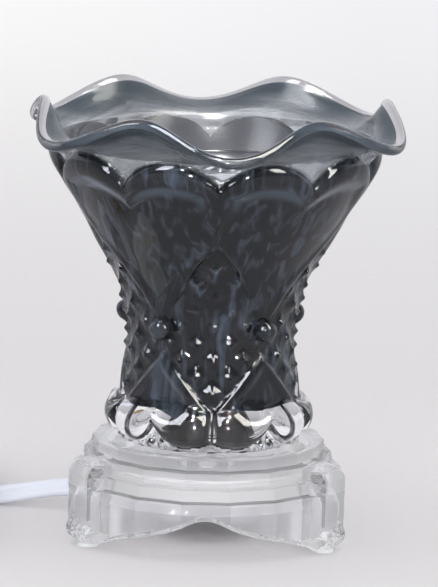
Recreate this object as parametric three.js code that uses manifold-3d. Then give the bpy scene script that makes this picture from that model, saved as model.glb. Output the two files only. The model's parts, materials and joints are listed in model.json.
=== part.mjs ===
// An electric essential oil burner with a dark glass shade on a stepped clear glass base.
//
// The shade and the oil dish in its throat lift off. A halogen reflector lamp stands in a moulded
// holder on the base and warms the dish from below. The mains cord leaves through an arch of the
// base, and its spare length lies coiled beside it with an in-line dimmer and a two-blade plug.
//
// Millimetres, +Z up, the front faces -Y. The origin is on the table, under the base's middle.

import * as THREE from "three";
import { mergeVertices } from "three/addons/utils/BufferGeometryUtils.js";
import Module from "manifold-3d";

const wasm = await Module();
wasm.setup();

// Clearances
const gap = 0.3;
const slideGap = 0.35;

// Glass base: three stepped tiers on an arched skirt, with a pillar between each two arches
const facetCount = 18;
const skirtRadius = 51.5;
const skirtHeight = 22.2;
const lowerTierRadius = 49.5;
const lowerTierHeight = 4.6;
const middleTierRadius = 46;
const middleTierHeight = 5.5;
const topTierRadius = 43;
const topTierHeight = 4.6;
const skirtWall = 6;
const topWall = 8.4;
const ceilingRadius = 38;
const archCount = 3;
const archHalfAngle = 52;
const archShoulder = 10.2;
const archCrown = 5.4;
const archCrownAngle = 13;
const pillarHalfAngle = 10;
const pillarDepth = 3.5;
const pillarFootDepth = 1.5;
const padRadius = 4.2;
const padHeight = 1.2;
const padStep = 0.6;

// Shade: heights are above its foot, angles in degrees from the middle line of a heart
const heartCount = 5;
const firstHeartAngle = -34;
const bodyHeight = 111.1;
const bodyOutline = [
  [0, 33], [5, 33], [12, 32.2], [20, 31], [34, 29.8], [44, 30.2], [51, 31.6],
  [59, 34.1], [66.3, 37.4], [74, 41.8], [87, 49.3], [96.5, 54.2], [103, 56.7], [111.1, 59],
];
const wallAtFoot = 4;
const wallAtWaist = 2.8;
const wallAtCollar = 3.6;
const waistHeight = 34;
const heartTipHeight = 42.5;
const heartShoulderHeight = 79;
const heartCleftHeight = 102.1;
const heartRelief = 2.5;
const heartMergeHeight = 9;
const heartMergeWidth = 4;
const heartRollWidth = 5;
const lowerTipHeight = 36.4;
const lowerShoulderHeight = 14.9;
const lowerCleftHeight = 9.8;
const lowerNotchHeight = 4;
const lobeBottomHeight = 1.6;
const lobeRelief = 6.2;
const lobeBulgeHeight = 5;
const lobeBulgeSpread = 7;
const pearlHeight = 44.6;
const pearlRadius = 4;
const pearlSeat = 2.3;
const pointPitchAngle = 21.5;
const pointPitchHeight = 12.4;
const pointRelief = 2;
const pointRowHeight = 40.6;
const ruffleCount = 6;
const lipMeanRadius = 69.25;
const lipWaveRadius = 4.25;
const lipMeanHeight = 121;
const lipWaveHeight = 5.44;
const lipPeakAngle = -24.7;
const lipThickness = 3.4;
const shadeColumns = 60;
const bodyRows = 21;
const collarRows = 3;
const innerRows = 6;

// Oil dish: it seats by its flank on the inside of the shade
const dishSeatHeight = 93;
const dishRimHeight = 99.5;
const dishFloorHeight = 81;
const dishFloorRadius = 28;
const dishWall = 3;

// Halogen reflector lamp, twist-locked by two studs
const lampRadius = 25;
const lampLength = 46.5;
const lampCapRadius = 12.5;
const lampCapLength = 15;
const lampNeckRadius = 10.4;
const reflectorWall = 1.2;
const lampRimWidth = 2;
const frontGlassThickness = 2;
const capsuleRadius = 4.5;
const capsuleLength = 20;
const studSpacing = 10;
const studNeckRadius = 1.3;
const studHeadRadius = 2.4;
const studNeckLength = 3.2;
const studHeadLength = 3;
const twistAngle = 20;

// Lampholder on its threaded tube
const holderRadius = 15;
const holderHeight = 17;
const holderFace = 3;
const pocketDepth = 9;
const recessDepth = 8;
const slotClearance = 0.4;
const plateRadius = 17;
const plateThickness = 1;
const holderWasherRadius = 14;
const holderWasherThickness = 1.2;
const threadRadius = 5;
const threadBore = 3.5;
const threadBelow = 7;
const nutRadius = 8;
const nutHeight = 3;
const holderScrewSpacing = 22;
const holderScrewRadius = 1.5;
const holderScrewHeadRadius = 2.8;
const holderScrewLength = 7;
const contactWidth = 4.2;
const contactLeg = 4.5;
const contactThickness = 0.6;
const leadRadius = 0.9;

// Wiring cup under the base's ceiling
const cupRadius = 21;
const cupWall = 1.5;
const cupDepth = 18;
const cupCoverThickness = 1.2;
const blockWidth = 18;
const blockDepth = 8;
const blockHeight = 5;
const blockSetback = 8;
const coverScrewSpacing = 30;
const coverScrewRadius = 1.5;
const coverBossRadius = 3;
const cordArchAngle = -120;
const reliefTipReach = 40;
const reliefRootRadius = 4.8;
const reliefTipRadius = 4.2;
const reliefFlangeRadius = 5.4;
const reliefFlangeThickness = 1.5;
const reliefRootHeight = 15.8;
const reliefTipHeight = 11.5;

// Flat twin cord, lying on edge
const cordWidth = 7;
const cordThickness = 3.5;
const cordGroove = 1.15;
const cordLift = 0.1;
const coilX = -125.5;
const coilY = 60;
const coilTurns = 6.75;
const coilRadius = 42;
const turnPitch = 4;
const layerPitch = 7.6;
const stepsPerTurn = 24;
const tieWidth = 8;
const tieThickness = 0.8;
const tieTurns = 0.25;
const tieClearance = 0.9;

// In-line dimmer
const dimmerX = -99;
const dimmerY = -26;
const dimmerLength = 60;
const dimmerWidth = 26;
const dimmerHeight = 17;
const dimmerWall = 1.6;
const dimmerSplit = 8.5;
const dimmerCorner = 6;
const wheelRadius = 10.5;
const wheelHeight = 5;
const wheelRecess = 2.2;
const wheelRibs = 24;
const spindleRadius = 2.5;
const boardThickness = 1.4;
const dimmerScrewSpacing = 48;
const dimmerScrewRadius = 1.2;
const dimmerBossRadius = 2.8;

// Plug
const plugX = -157;
const plugY = -48;
const plugWidth = 26;
const plugHeight = 16;
const plugLength = 33;
const plugTaper = 9;
const bladeSpacing = 12.7;
const bladeWidth = 6.35;
const bladeThickness = 1.5;
const bladeLength = 16.5;

// Heights that follow from the sizes above
const baseTop = skirtHeight + lowerTierHeight + middleTierHeight + topTierHeight;
const ceilingHeight = baseTop - topWall;
const pillarTop = skirtHeight + lowerTierHeight + middleTierHeight - 1;
const plateBottom = baseTop + gap + holderWasherThickness + gap;
const plateTop = plateBottom + plateThickness;
const holderBottom = plateTop + gap;
const holderTop = holderBottom + holderHeight;
const lampBottom = holderTop + gap;
const cordHeight = cordWidth / 2 + cordLift;
const threadBottom = ceilingHeight - threadBelow;
const cupTop = ceilingHeight - gap;
const cupBottom = cupTop - cupDepth;
const coverTop = cupBottom - gap;
const washerTop = cupTop - cupWall - gap;

// Colours of the real finishes
const clearGlass = () => finish(0xe9ecec, 0.05, 0, 0.35);
const smokyGlass = () => finish(0x3c3e44, 0.08, 0, 0.8);
const whiteCeramic = () => finish(0xf1eee6, 0.45, 0);
const blackPhenolic = () => finish(0x1c1c1d, 0.5, 0);
const greyPlastic = () => finish(0xb0afb3, 0.5, 0);
const whitePlastic = () => finish(0xf2f2f0, 0.35, 0);
const whiteVinyl = () => finish(0xebecf2, 0.45, 0);
const clearRubber = () => finish(0xdfe2e2, 0.4, 0, 0.6);
const steel = () => finish(0xb9bcc0, 0.35, 1);
const blackSteel = () => finish(0x232325, 0.5, 0);
const brass = () => finish(0xc9a960, 0.3, 1);
const circuitBoard = () => finish(0xb9a36a, 0.6, 0);
const mirrorCoat = () => finish(0xd9dde2, 0.12, 0.9);

function finish(colour, roughness, metalness, opacity = 1) {
  return new THREE.MeshStandardMaterial({
    color: colour, roughness, metalness, opacity, transparent: opacity < 1,
  });
}

// Closed meshes and booleans

function merged(geometry) {
  const plain = geometry.clone();
  plain.deleteAttribute("normal");
  plain.deleteAttribute("uv");
  const joined = mergeVertices(plain, 1e-4);
  const kept = [];
  const index = joined.index.array;
  for (let i = 0; i < index.length; i += 3) {
    const [a, b, c] = [index[i], index[i + 1], index[i + 2]];
    if (a !== b && b !== c && c !== a) kept.push(a, b, c);
  }
  joined.setIndex(kept);
  return outward(joined);
}

function signedVolume(geometry) {
  const p = geometry.attributes.position;
  const index = geometry.index.array;
  const [a, b, c] = [new THREE.Vector3(), new THREE.Vector3(), new THREE.Vector3()];
  let volume = 0;
  for (let i = 0; i < index.length; i += 3) {
    a.fromBufferAttribute(p, index[i]);
    b.fromBufferAttribute(p, index[i + 1]);
    c.fromBufferAttribute(p, index[i + 2]);
    volume += a.dot(b.cross(c)) / 6;
  }
  return volume;
}

function outward(geometry) {
  if (signedVolume(geometry) < 0) {
    const index = Array.from(geometry.index.array);
    for (let i = 0; i < index.length; i += 3) {
      [index[i + 1], index[i + 2]] = [index[i + 2], index[i + 1]];
    }
    geometry.setIndex(index);
  }
  return geometry;
}

function toSolid(geometry) {
  const plain = merged(geometry);
  return new wasm.Manifold(new wasm.Mesh({
    numProp: 3,
    vertProperties: new Float32Array(plain.attributes.position.array),
    triVerts: new Uint32Array(plain.index.array),
  }));
}

function toGeometry(solid) {
  const mesh = solid.getMesh();
  const geometry = new THREE.BufferGeometry();
  geometry.setAttribute("position", new THREE.BufferAttribute(new Float32Array(mesh.vertProperties), 3));
  geometry.setIndex(new THREE.BufferAttribute(new Uint32Array(mesh.triVerts), 1));
  return geometry;
}

function cut(geometry, ...cutters) {
  return toGeometry(cutters.reduce((solid, c) => solid.subtract(toSolid(c)), toSolid(geometry)));
}

function join(...geometries) {
  const [first, ...rest] = geometries.map(toSolid);
  return toGeometry(rest.reduce((solid, other) => solid.add(other), first));
}

// Shapes

function lathe(profile, segments = 32) {
  const points = profile.map(([r, z]) => new THREE.Vector2(r, z));
  return merged(new THREE.LatheGeometry(points, segments).rotateX(Math.PI / 2));
}

function disc(radius, bottom, top, segments = 24) {
  return lathe([[0, bottom], [radius, bottom], [radius, top], [0, top]], segments);
}

function ring(inner, outer, bottom, top, segments = 20) {
  return lathe([[inner, bottom], [outer, bottom], [outer, top], [inner, top], [inner, bottom]], segments);
}

function block(width, depth, height) {
  return new THREE.BoxGeometry(width, depth, height);
}

function roundedOutline(width, depth, corner) {
  const [x, y] = [width / 2 - corner, depth / 2 - corner];
  const shape = new THREE.Shape();
  shape.absarc(x, y, corner, 0, Math.PI / 2);
  shape.absarc(-x, y, corner, Math.PI / 2, Math.PI);
  shape.absarc(-x, -y, corner, Math.PI, 1.5 * Math.PI);
  shape.absarc(x, -y, corner, 1.5 * Math.PI, 2 * Math.PI);
  return shape;
}

function slab(shape, bottom, top, curveSegments = 3) {
  const depth = top - bottom;
  return merged(new THREE.ExtrudeGeometry(shape, { depth, bevelEnabled: false, curveSegments }))
    .translate(0, 0, bottom);
}

function loft(rings, joined = false) {
  const count = rings[0].length;
  const positions = rings.flat().flatMap((p) => [p.x, p.y, p.z]);
  const triangles = [];
  const bands = joined ? rings.length : rings.length - 1;
  for (let i = 0; i < bands; i++) {
    const [a, b] = [i * count, ((i + 1) % rings.length) * count];
    for (let j = 0; j < count; j++) {
      const k = (j + 1) % count;
      triangles.push(a + j, a + k, b + j, a + k, b + k, b + j);
    }
  }
  const end = (rings.length - 1) * count;
  for (let j = 1; j < count - 1 && !joined; j++) {
    triangles.push(0, j + 1, j, end, end + j, end + j + 1);
  }
  const geometry = new THREE.BufferGeometry();
  geometry.setAttribute("position", new THREE.Float32BufferAttribute(positions, 3));
  geometry.setIndex(triangles);
  return outward(geometry);
}

function around(radius, degrees, z) {
  const angle = THREE.MathUtils.degToRad(degrees);
  return new THREE.Vector3(radius * Math.sin(angle), -radius * Math.cos(angle), z);
}

function arcLoft(middle, halfAngle, steps, section) {
  const rings = [];
  for (let i = 0; i <= steps; i++) {
    const offset = halfAngle * (2 * i / steps - 1);
    rings.push(section(offset).map(([r, z]) => around(r, middle + offset, z)));
  }
  return loft(rings);
}

function wire(points, radius, steps, sides = 8) {
  const outline = new THREE.Shape();
  outline.absarc(0, 0, radius, 0, 2 * Math.PI);
  return alongPath(outline, points, steps, sides / 2);
}

function alongPath(outline, points, steps, curveSegments = 4) {
  const extrudePath = new THREE.CatmullRomCurve3(points.map((p) => new THREE.Vector3(...p)));
  return merged(new THREE.ExtrudeGeometry(outline, { steps, extrudePath, curveSegments }));
}

function screw(radius, length, headRadius, headHeight) {
  return lathe([
    [0, 0], [headRadius, 0], [headRadius * 0.86, headHeight], [radius, headHeight],
    [radius, length - radius], [0, length],
  ], 12);
}

function smoothAt(points, z) {
  const last = points.length - 1;
  const i = Math.max(0, Math.min(last - 1, points.findLastIndex(([h]) => h <= z)));
  const slope = (k) => {
    const [a, b] = [points[Math.max(k - 1, 0)], points[Math.min(k + 1, last)]];
    return (b[1] - a[1]) / (b[0] - a[0]);
  };
  const [[z0, r0], [z1, r1]] = [points[i], points[i + 1]];
  const span = z1 - z0;
  const t = Math.min(Math.max((z - z0) / span, 0), 1);
  return r0 * (1 + 2 * t) * (1 - t) ** 2 + r1 * t * t * (3 - 2 * t)
    + span * t * (1 - t) * (slope(i) * (1 - t) - slope(i + 1) * t);
}

// Shade

const sector = 360 / heartCount;
const lobeHalfAngle = sector / 4;

function bodyRadius(z) {
  return smoothAt(bodyOutline, z);
}

function innerRadius(z) {
  const wall = z < waistHeight
    ? THREE.MathUtils.lerp(wallAtFoot, wallAtWaist, THREE.MathUtils.smoothstep(z, 0, waistHeight))
    : THREE.MathUtils.lerp(wallAtWaist, wallAtCollar, THREE.MathUtils.smoothstep(z, waistHeight, bodyHeight));
  return bodyRadius(z) - wall;
}

function roundedBorder(inside, width) {
  const t = THREE.MathUtils.clamp(inside / width, 0, 1);
  return Math.sqrt(1 - (1 - t) ** 2);
}

// How far a point lies outside the half-round top of the lobe, from 0 at its crown to 1 at its ends
function lobeDrop(u) {
  const across = (Math.abs(u) - lobeHalfAngle) / lobeHalfAngle;
  return 1 - Math.sqrt(Math.max(0, 1 - across * across));
}

function insideUpperHeart(u, z, arc) {
  const open = THREE.MathUtils.clamp((z - heartTipHeight) / (heartShoulderHeight - heartTipHeight), 0, 1);
  const merged = THREE.MathUtils.smoothstep(z, heartShoulderHeight, heartShoulderHeight + heartMergeHeight);
  const side = (sector / 2 * open ** 1.05 - Math.abs(u)) * arc + heartMergeWidth * merged;
  const top = bodyHeight - (bodyHeight - heartCleftHeight) * lobeDrop(u) - z;
  return Math.min(side, top);
}

function insideLowerHeart(u, z, arc) {
  const open = THREE.MathUtils.clamp((lowerTipHeight - z) / (lowerTipHeight - lowerShoulderHeight), 0, 1);
  const side = (sector / 2 * open - Math.abs(u)) * arc;
  const cleft = Math.abs(u) < lobeHalfAngle ? lowerCleftHeight : lowerNotchHeight;
  const bottom = z - lobeBottomHeight - (cleft - lobeBottomHeight) * lobeDrop(u);
  return Math.min(side, bottom);
}

function diamondPoints(u, z) {
  const across = (sector / 2 - Math.abs(u)) / pointPitchAngle;
  const up = (z - pointRowHeight) / pointPitchHeight;
  const off = (value) => Math.abs(value - Math.floor(value) - 0.5);
  return 1 - 2 * Math.max(off(across + up), off(across - up));
}

// Height of the pressed pattern above the plain body, u degrees from the middle of a heart
function relief(u, z) {
  const arc = THREE.MathUtils.degToRad(1) * bodyRadius(z);
  const upper = insideUpperHeart(u, z, arc);
  const lower = insideLowerHeart(u, z, arc);
  const bulge = (lobeRelief - heartRelief) * Math.exp(-(((z - lobeBulgeHeight) / lobeBulgeSpread) ** 2));
  const field = Math.min(Math.max(-Math.max(upper, lower), 0), 1);
  const onPearl = pearlRadius ** 2 - (u * arc) ** 2 - (z - pearlHeight) ** 2;
  return Math.max(
    heartRelief * roundedBorder(upper, heartRollWidth),
    (heartRelief + bulge) * roundedBorder(lower, heartRollWidth),
    pointRelief * diamondPoints(u, z) * field,
    onPearl > 0 ? pearlSeat + Math.sqrt(onPearl) : 0,
  );
}

function lipAt(degrees) {
  const wave = Math.cos(THREE.MathUtils.degToRad(ruffleCount * (degrees - lipPeakAngle)));
  const radius = lipMeanRadius - lipWaveRadius * wave - lipThickness / 2;
  return new THREE.Vector2(radius, lipMeanHeight + lipWaveHeight * wave - lipThickness / 2);
}

// Middle of the collar's wall from the body, at 0, to the lip, at 1
function collarCurve(degrees) {
  const lip = lipAt(degrees);
  const root = new THREE.Vector2(bodyRadius(bodyHeight) - wallAtCollar / 2, bodyHeight);
  const bend = new THREE.Vector2(
    THREE.MathUtils.lerp(root.x, lip.x, 0.25), THREE.MathUtils.lerp(root.y, lip.y, 0.55),
  );
  return new THREE.QuadraticBezierCurve(root, bend, lip);
}

function collarPoint(degrees, t, turn) {
  const curve = collarCurve(degrees);
  const [at, along] = [curve.getPoint(t), curve.getTangent(t)];
  const half = THREE.MathUtils.lerp(wallAtCollar, lipThickness, t) / 2;
  const [across, ahead] = [half * Math.cos(turn), half * Math.sin(turn)];
  return [at.x + along.y * across + along.x * ahead, at.y - along.x * across + along.y * ahead];
}

function shadeRing(pointAt) {
  const points = [];
  for (let i = 0; i < shadeColumns; i++) {
    const degrees = firstHeartAngle + 360 * i / shadeColumns;
    const u = (360 * i / shadeColumns + sector / 2) % sector - sector / 2;
    const [r, z] = pointAt(degrees, u);
    points.push(around(r, degrees, z));
  }
  return points;
}

// From the collar down to the foot, with a row at each edge of the dish's seat
function innerHeights() {
  const heights = [bodyHeight, dishRimHeight];
  for (let i = innerRows; i >= 0; i--) heights.push(dishSeatHeight * i / innerRows);
  return heights;
}

function shadeGeometry() {
  const rings = [];
  for (let i = 0; i <= bodyRows; i++) {
    const z = bodyHeight * i / bodyRows;
    rings.push(shadeRing((degrees, u) => [bodyRadius(z) + relief(u, z), z]));
  }
  for (let i = 1; i <= collarRows; i++) {
    rings.push(shadeRing((degrees) => collarPoint(degrees, i / collarRows, 0)));
  }
  for (const turn of [Math.PI / 3, 2 * Math.PI / 3]) {
    rings.push(shadeRing((degrees) => collarPoint(degrees, 1, turn)));
  }
  for (let i = collarRows; i >= 1; i--) {
    rings.push(shadeRing((degrees) => collarPoint(degrees, i / collarRows, Math.PI)));
  }
  for (const z of innerHeights()) rings.push(shadeRing(() => [innerRadius(z), z]));
  return loft(rings, true);
}

function dishGeometry() {
  const flank = (z) => innerRadius(z) - slideGap;
  const rim = flank(dishRimHeight - 1) - 0.1;
  const underside = (z) => dishFloorRadius
    + (flank(dishSeatHeight) - dishFloorRadius)
    * Math.sqrt((z - dishFloorHeight) / (dishSeatHeight - dishFloorHeight));
  const outside = [0, 0.08, 0.3, 0.6, 0.85].map((t) => {
    const z = dishFloorHeight + t * (dishSeatHeight - dishFloorHeight);
    return [underside(z), z];
  });
  const inside = outside.map(([r, z]) => [r - dishWall, z + dishWall]).reverse();
  return lathe([
    [0, dishFloorHeight], ...outside, [flank(dishSeatHeight), dishSeatHeight],
    [rim, dishRimHeight - 1], [rim - 1, dishRimHeight], [rim - dishWall + 0.6, dishRimHeight],
    [rim - dishWall - 0.4, dishRimHeight - 1], ...inside,
    [0, dishFloorHeight + dishWall],
  ], 36);
}

// Base

function archHeight(offset) {
  const shoulder = archShoulder * (1 - (offset / (180 / archCount - 3)) ** 2);
  return shoulder + archCrown * Math.exp(-((offset / archCrownAngle) ** 2));
}

function archCutter(middle) {
  const [inner, outer] = [skirtRadius - 2.5 * skirtWall, skirtRadius + 2 * skirtWall];
  return arcLoft(middle, archHalfAngle, 16, (offset) => [
    [inner, -1], [outer, -1], [outer, archHeight(offset)], [inner, archHeight(offset)],
  ]);
}

function pillarGeometry(middle) {
  const face = skirtRadius + pillarDepth;
  const foot = padHeight + gap;
  return arcLoft(middle, pillarHalfAngle, 4, (offset) => {
    const round = 1.6 * (offset / pillarHalfAngle) ** 4;
    return [
      [topTierRadius - skirtWall, foot + 1], [skirtRadius - skirtWall, foot],
      [face + pillarFootDepth - 3 - round, foot], [face + pillarFootDepth - round, foot + 3],
      [face - round, foot + 8], [face - round, pillarTop - 5], [face - 5 - round, pillarTop],
      [topTierRadius - skirtWall, pillarTop],
    ];
  });
}

function baseGeometry() {
  const [lowerTop, middleTop] = [skirtHeight + lowerTierHeight, baseTop - topTierHeight];
  const tiers = lathe([
    [0, 0], [skirtRadius, 0], [skirtRadius, skirtHeight - 1.2], [skirtRadius - 1.2, skirtHeight],
    [lowerTierRadius, skirtHeight], [lowerTierRadius, lowerTop - 0.8], [lowerTierRadius - 0.8, lowerTop],
    [middleTierRadius, lowerTop], [middleTierRadius, middleTop - 0.8], [middleTierRadius - 0.8, middleTop],
    [topTierRadius, middleTop], [topTierRadius, baseTop - 0.8], [topTierRadius - 0.8, baseTop],
    [0, baseTop],
  ], facetCount).rotateZ(Math.PI / facetCount + Math.PI / 2);
  const hollow = lathe([
    [0, -1], [skirtRadius - skirtWall, -1], [skirtRadius - skirtWall, skirtHeight - 4],
    [ceilingRadius + 2, ceilingHeight - 3], [ceilingRadius, ceilingHeight], [0, ceilingHeight],
  ], 2 * facetCount);
  const arches = [];
  const pillars = [];
  const pads = [];
  for (let i = 0; i < archCount; i++) {
    arches.push(archCutter(i * 360 / archCount));
    const middle = (i + 0.5) * 360 / archCount;
    pillars.push(pillarGeometry(middle));
    pads.push(padGeometry(gap / 2, gap).translate(...around(padReach, middle, 0).toArray()));
  }
  const bore = disc(threadRadius + gap, ceilingHeight - 1, baseTop + 1, 24);
  const cover = disc(skirtRadius + skirtWall, -2, padHeight + gap);
  return cut(join(cut(tiers, hollow, ...arches), ...pillars), cover, bore, ...pads);
}

const padReach = skirtRadius - 1.5;

// A soft pad with a stem that sits in the foot; grow widens it into the stem's hole
function padGeometry(grow = 0, rise = 0) {
  return lathe([
    [0, 0], [padRadius, 0], [padRadius, padHeight], [padRadius / 2 + grow, padHeight],
    [padRadius / 2 + grow, padHeight + gap + padStep + rise], [0, padHeight + gap + padStep + rise],
  ], 12);
}

// Lamp, in its own frame with z = 0 at the underside of its cap

function reflectorGeometry() {
  const start = lampCapLength + gap;
  const depth = lampLength - start;
  const outer = (t) => lampNeckRadius + (lampRadius - lampNeckRadius) * Math.sqrt(t);
  const steps = [0, 0.06, 0.2, 0.42, 0.7, 0.93];
  const outside = steps.map((t) => [outer(t), start + t * depth]);
  const inside = steps.map((t) => [outer(t) - reflectorWall * (1 + 1 - t), start + t * depth]).reverse();
  const lip = lampRadius - lampRimWidth;
  return lathe([
    ...outside, [lampRadius, lampLength], [lip, lampLength], [lip, glassBottom - gap],
    ...inside.filter(([, z]) => z < glassBottom - gap), outside[0],
  ], 24);
}

const glassBottom = lampLength - 0.5 - frontGlassThickness;

function capsuleGeometry() {
  const bottom = lampCapLength + gap;
  return lathe([
    [0, bottom], [capsuleRadius * 0.8, bottom], [capsuleRadius, bottom + 5],
    [capsuleRadius, bottom + capsuleLength - 4], [capsuleRadius * 0.6, bottom + capsuleLength - 1],
    [0, bottom + capsuleLength],
  ], 16);
}

function capGeometry() {
  return lathe([
    [0, 0], [lampCapRadius - 1, 0], [lampCapRadius, 1], [lampCapRadius, lampCapLength - 5],
    [lampNeckRadius, lampCapLength], [0, lampCapLength],
  ], 24);
}

function studGeometry() {
  return lathe([
    [0, -gap], [studNeckRadius, -gap], [studNeckRadius, -studNeckLength],
    [studHeadRadius, -studNeckLength - 0.4], [studHeadRadius, -studNeckLength - studHeadLength + 0.6],
    [studHeadRadius - 0.6, -studNeckLength - studHeadLength], [0, -studNeckLength - studHeadLength],
  ], 12);
}

// Lampholder

function slotCutter(side, halfWidth, bottom, top) {
  const middle = side * 90 + twistAngle / 2;
  const [inner, outer] = [studSpacing / 2 - halfWidth, studSpacing / 2 + halfWidth];
  const ends = THREE.MathUtils.radToDeg(halfWidth / inner) * 0.75;
  return arcLoft(middle, twistAngle / 2 + ends, 8, () => [
    [inner, bottom], [outer, bottom], [outer, top], [inner, top],
  ]);
}

function holderGeometry() {
  const pocketTop = holderTop - holderFace + gap;
  const cutters = [];
  for (const side of [-1, 1]) {
    const entry = around(studSpacing / 2, side * 90 + twistAngle, 0);
    cutters.push(slotCutter(side, studNeckRadius + slotClearance, pocketTop - 1, holderTop + 1));
    cutters.push(slotCutter(side, studHeadRadius + slotClearance - 0.35, pocketTop - pocketDepth, pocketTop));
    cutters.push(disc(studHeadRadius + slotClearance, pocketTop - pocketDepth, holderTop + 1, 12)
      .translate(entry.x, entry.y, 0));
    cutters.push(disc(holderScrewRadius + gap / 2, holderBottom - 1, holderBottom + holderScrewLength, 12)
      .translate(0, side * holderScrewSpacing / 2, 0));
  }
  const recess = disc(nutRadius + 0.8, holderBottom - 1, holderBottom + recessDepth, 24);
  const body = lathe([
    [0, holderBottom], [holderRadius, holderBottom], [holderRadius, holderTop - 1.5],
    [holderRadius - 1.5, holderTop], [0, holderTop],
  ], 24);
  return cut(body, recess, ...cutters);
}

function plateGeometry() {
  const holes = [disc(threadRadius + gap, plateBottom - 1, plateTop + 1, 24)];
  for (const side of [-1, 1]) {
    holes.push(disc(holderScrewRadius + gap / 2, plateBottom - 1, plateTop + 1, 12)
      .translate(0, side * holderScrewSpacing / 2, 0));
  }
  return cut(disc(plateRadius, plateBottom, plateTop), ...holes);
}

// The washer's hole for each screw head lets the heads sit above the glass
function holderWasherGeometry() {
  const [bottom, top] = [baseTop + gap, plateBottom - gap];
  const holes = [];
  for (const side of [-1, 1]) {
    holes.push(disc(holderScrewHeadRadius + 1, bottom - 1, top + 1, 16)
      .translate(0, side * holderScrewSpacing / 2, 0));
  }
  return cut(ring(threadRadius + gap, holderWasherRadius, bottom, top), ...holes);
}

function nutGeometry(bottom) {
  const hex = disc(nutRadius, bottom, bottom + nutHeight, 6);
  return cut(hex, disc(threadRadius + gap / 2, bottom - 1, bottom + nutHeight + 1, 24));
}

const contactBottom = holderTop - studNeckLength - studHeadLength - gap - contactThickness;

function contactGeometry(side) {
  const outer = studSpacing / 2 + contactWidth / 2 - contactThickness / 2;
  return join(
    block(contactWidth, contactWidth, contactThickness)
      .translate(side * studSpacing / 2, 0, contactBottom + contactThickness / 2),
    block(contactThickness, contactWidth, contactLeg)
      .translate(side * outer, 0, contactBottom + contactThickness - contactLeg / 2),
  );
}

function lampLeadPoints(side) {
  const inner = side * (leadRadius + gap);
  const outer = side * studSpacing / 2;
  const tubeTop = plateTop + gap + nutHeight;
  return [
    [outer, 0, contactBottom - gap], [outer, 0, contactBottom - 2], [inner * 1.8, 0, tubeTop + 2.4],
    [inner, 0, tubeTop], [inner, 0, baseTop - 4], [inner, 0, threadBottom + 2],
    [inner, -0.3, threadBottom], [side * 3, -blockSetback / 2, threadBottom - 2],
    [side * 4, -blockSetback, blockTop + 2.6], [side * 4, -blockSetback, blockTop + gap],
  ];
}

// Wiring cup

const blockTop = cupBottom + gap + blockHeight;

function cupGeometry() {
  const inner = cupRadius - cupWall;
  const shell = cut(
    disc(cupRadius, cupBottom, cupTop, 28),
    disc(inner, cupBottom - 1, cupTop - cupWall, 28),
    disc(threadRadius + gap, cupTop - cupWall - 1, cupTop + 1, 24),
  );
  const bosses = [-1, 1].map((side) => cut(
    disc(coverBossRadius, cupBottom + gap, cupTop - cupWall + 0.1, 12)
      .translate(side * coverScrewSpacing / 2, 0, 0),
    disc(coverScrewRadius + gap / 2, cupBottom, cupBottom + 7, 10)
      .translate(side * coverScrewSpacing / 2, 0, 0),
  ));
  return cut(join(shell, ...bosses), reliefTube(reliefRootRadius + gap, cupRadius - 4, cupRadius + 2));
}

function coverGeometry() {
  const holes = [-1, 1].map((side) => disc(coverScrewRadius + gap / 2, cupBottom - 5, cupTop, 10)
    .translate(side * coverScrewSpacing / 2, 0, 0));
  return cut(disc(cupRadius, coverTop - cupCoverThickness, coverTop, 28), ...holes);
}

// The strain relief slopes down from the cup's wall to just inside the arch
const reliefSlope = (reliefTipHeight - reliefRootHeight) / (reliefTipReach - cupRadius);

function reliefPoint(reach) {
  return around(reach, cordArchAngle, reliefRootHeight + reliefSlope * (reach - cupRadius));
}

function reliefTube(radius, from, to, endRadius = radius, segments = 16) {
  const [start, end] = [reliefPoint(from), reliefPoint(to)];
  const length = start.distanceTo(end);
  const tube = lathe([[0, 0], [radius, 0], [endRadius, length], [0, length]], segments);
  const turn = new THREE.Quaternion().setFromUnitVectors(
    new THREE.Vector3(0, 0, 1), end.clone().sub(start).normalize(),
  );
  return tube.applyQuaternion(turn).translate(start.x, start.y, start.z);
}

// The flanges are flat and tilted, so they stand off the cup's round wall by its rise and their tilt
const cupInner = cupRadius - cupWall;
const flangeRise = cupInner - Math.sqrt(cupInner ** 2 - (reliefFlangeRadius + gap) ** 2);
const flangeTilt = reliefFlangeRadius * Math.abs(reliefSlope);
const innerFlange = cupInner - flangeRise - flangeTilt - gap;

function reliefGeometry() {
  const outerFlange = cupRadius + flangeTilt + gap;
  return join(
    reliefTube(reliefFlangeRadius, innerFlange - reliefFlangeThickness, innerFlange),
    reliefTube(reliefRootRadius, innerFlange - 0.1, outerFlange + 0.1),
    reliefTube(reliefFlangeRadius, outerFlange, outerFlange + reliefFlangeThickness),
    reliefTube(reliefRootRadius, outerFlange + reliefFlangeThickness - 0.1, reliefTipReach, reliefTipRadius),
  );
}

function cordCorePoints(side) {
  const start = reliefPoint(innerFlange - reliefFlangeThickness - gap);
  const across = new THREE.Vector3(0, 0, 1).cross(around(1, cordArchAngle, 0)).multiplyScalar(1.6 * side);
  const entry = [-side * 4, -blockSetback + blockDepth / 2 + gap, blockTop - 2.5];
  return [
    start.clone().add(across).toArray(), [start.x * 0.72 - side * 1.6, start.y * 0.55 - side * 1.2, start.z],
    [entry[0], entry[1] + 4.5, entry[2] + 0.4], entry,
  ];
}

// Cord

function twinSection() {
  const [half, core] = [cordWidth / 2, cordThickness / 2];
  const quarter = [[half, 0], [half - 0.3 * core, 0.75 * core], [half - core, core]];
  const top = [...quarter, [0, cordGroove], ...quarter.map(([x, y]) => [-x, y]).reverse()];
  const bottom = top.slice(1, -1).map(([x, y]) => [x, -y]).reverse();
  return new THREE.Shape([...top, ...bottom].map(([x, y]) => new THREE.Vector2(x, y)));
}

function cordGeometry(points, steps) {
  return alongPath(twinSection(), points, steps);
}

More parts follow.
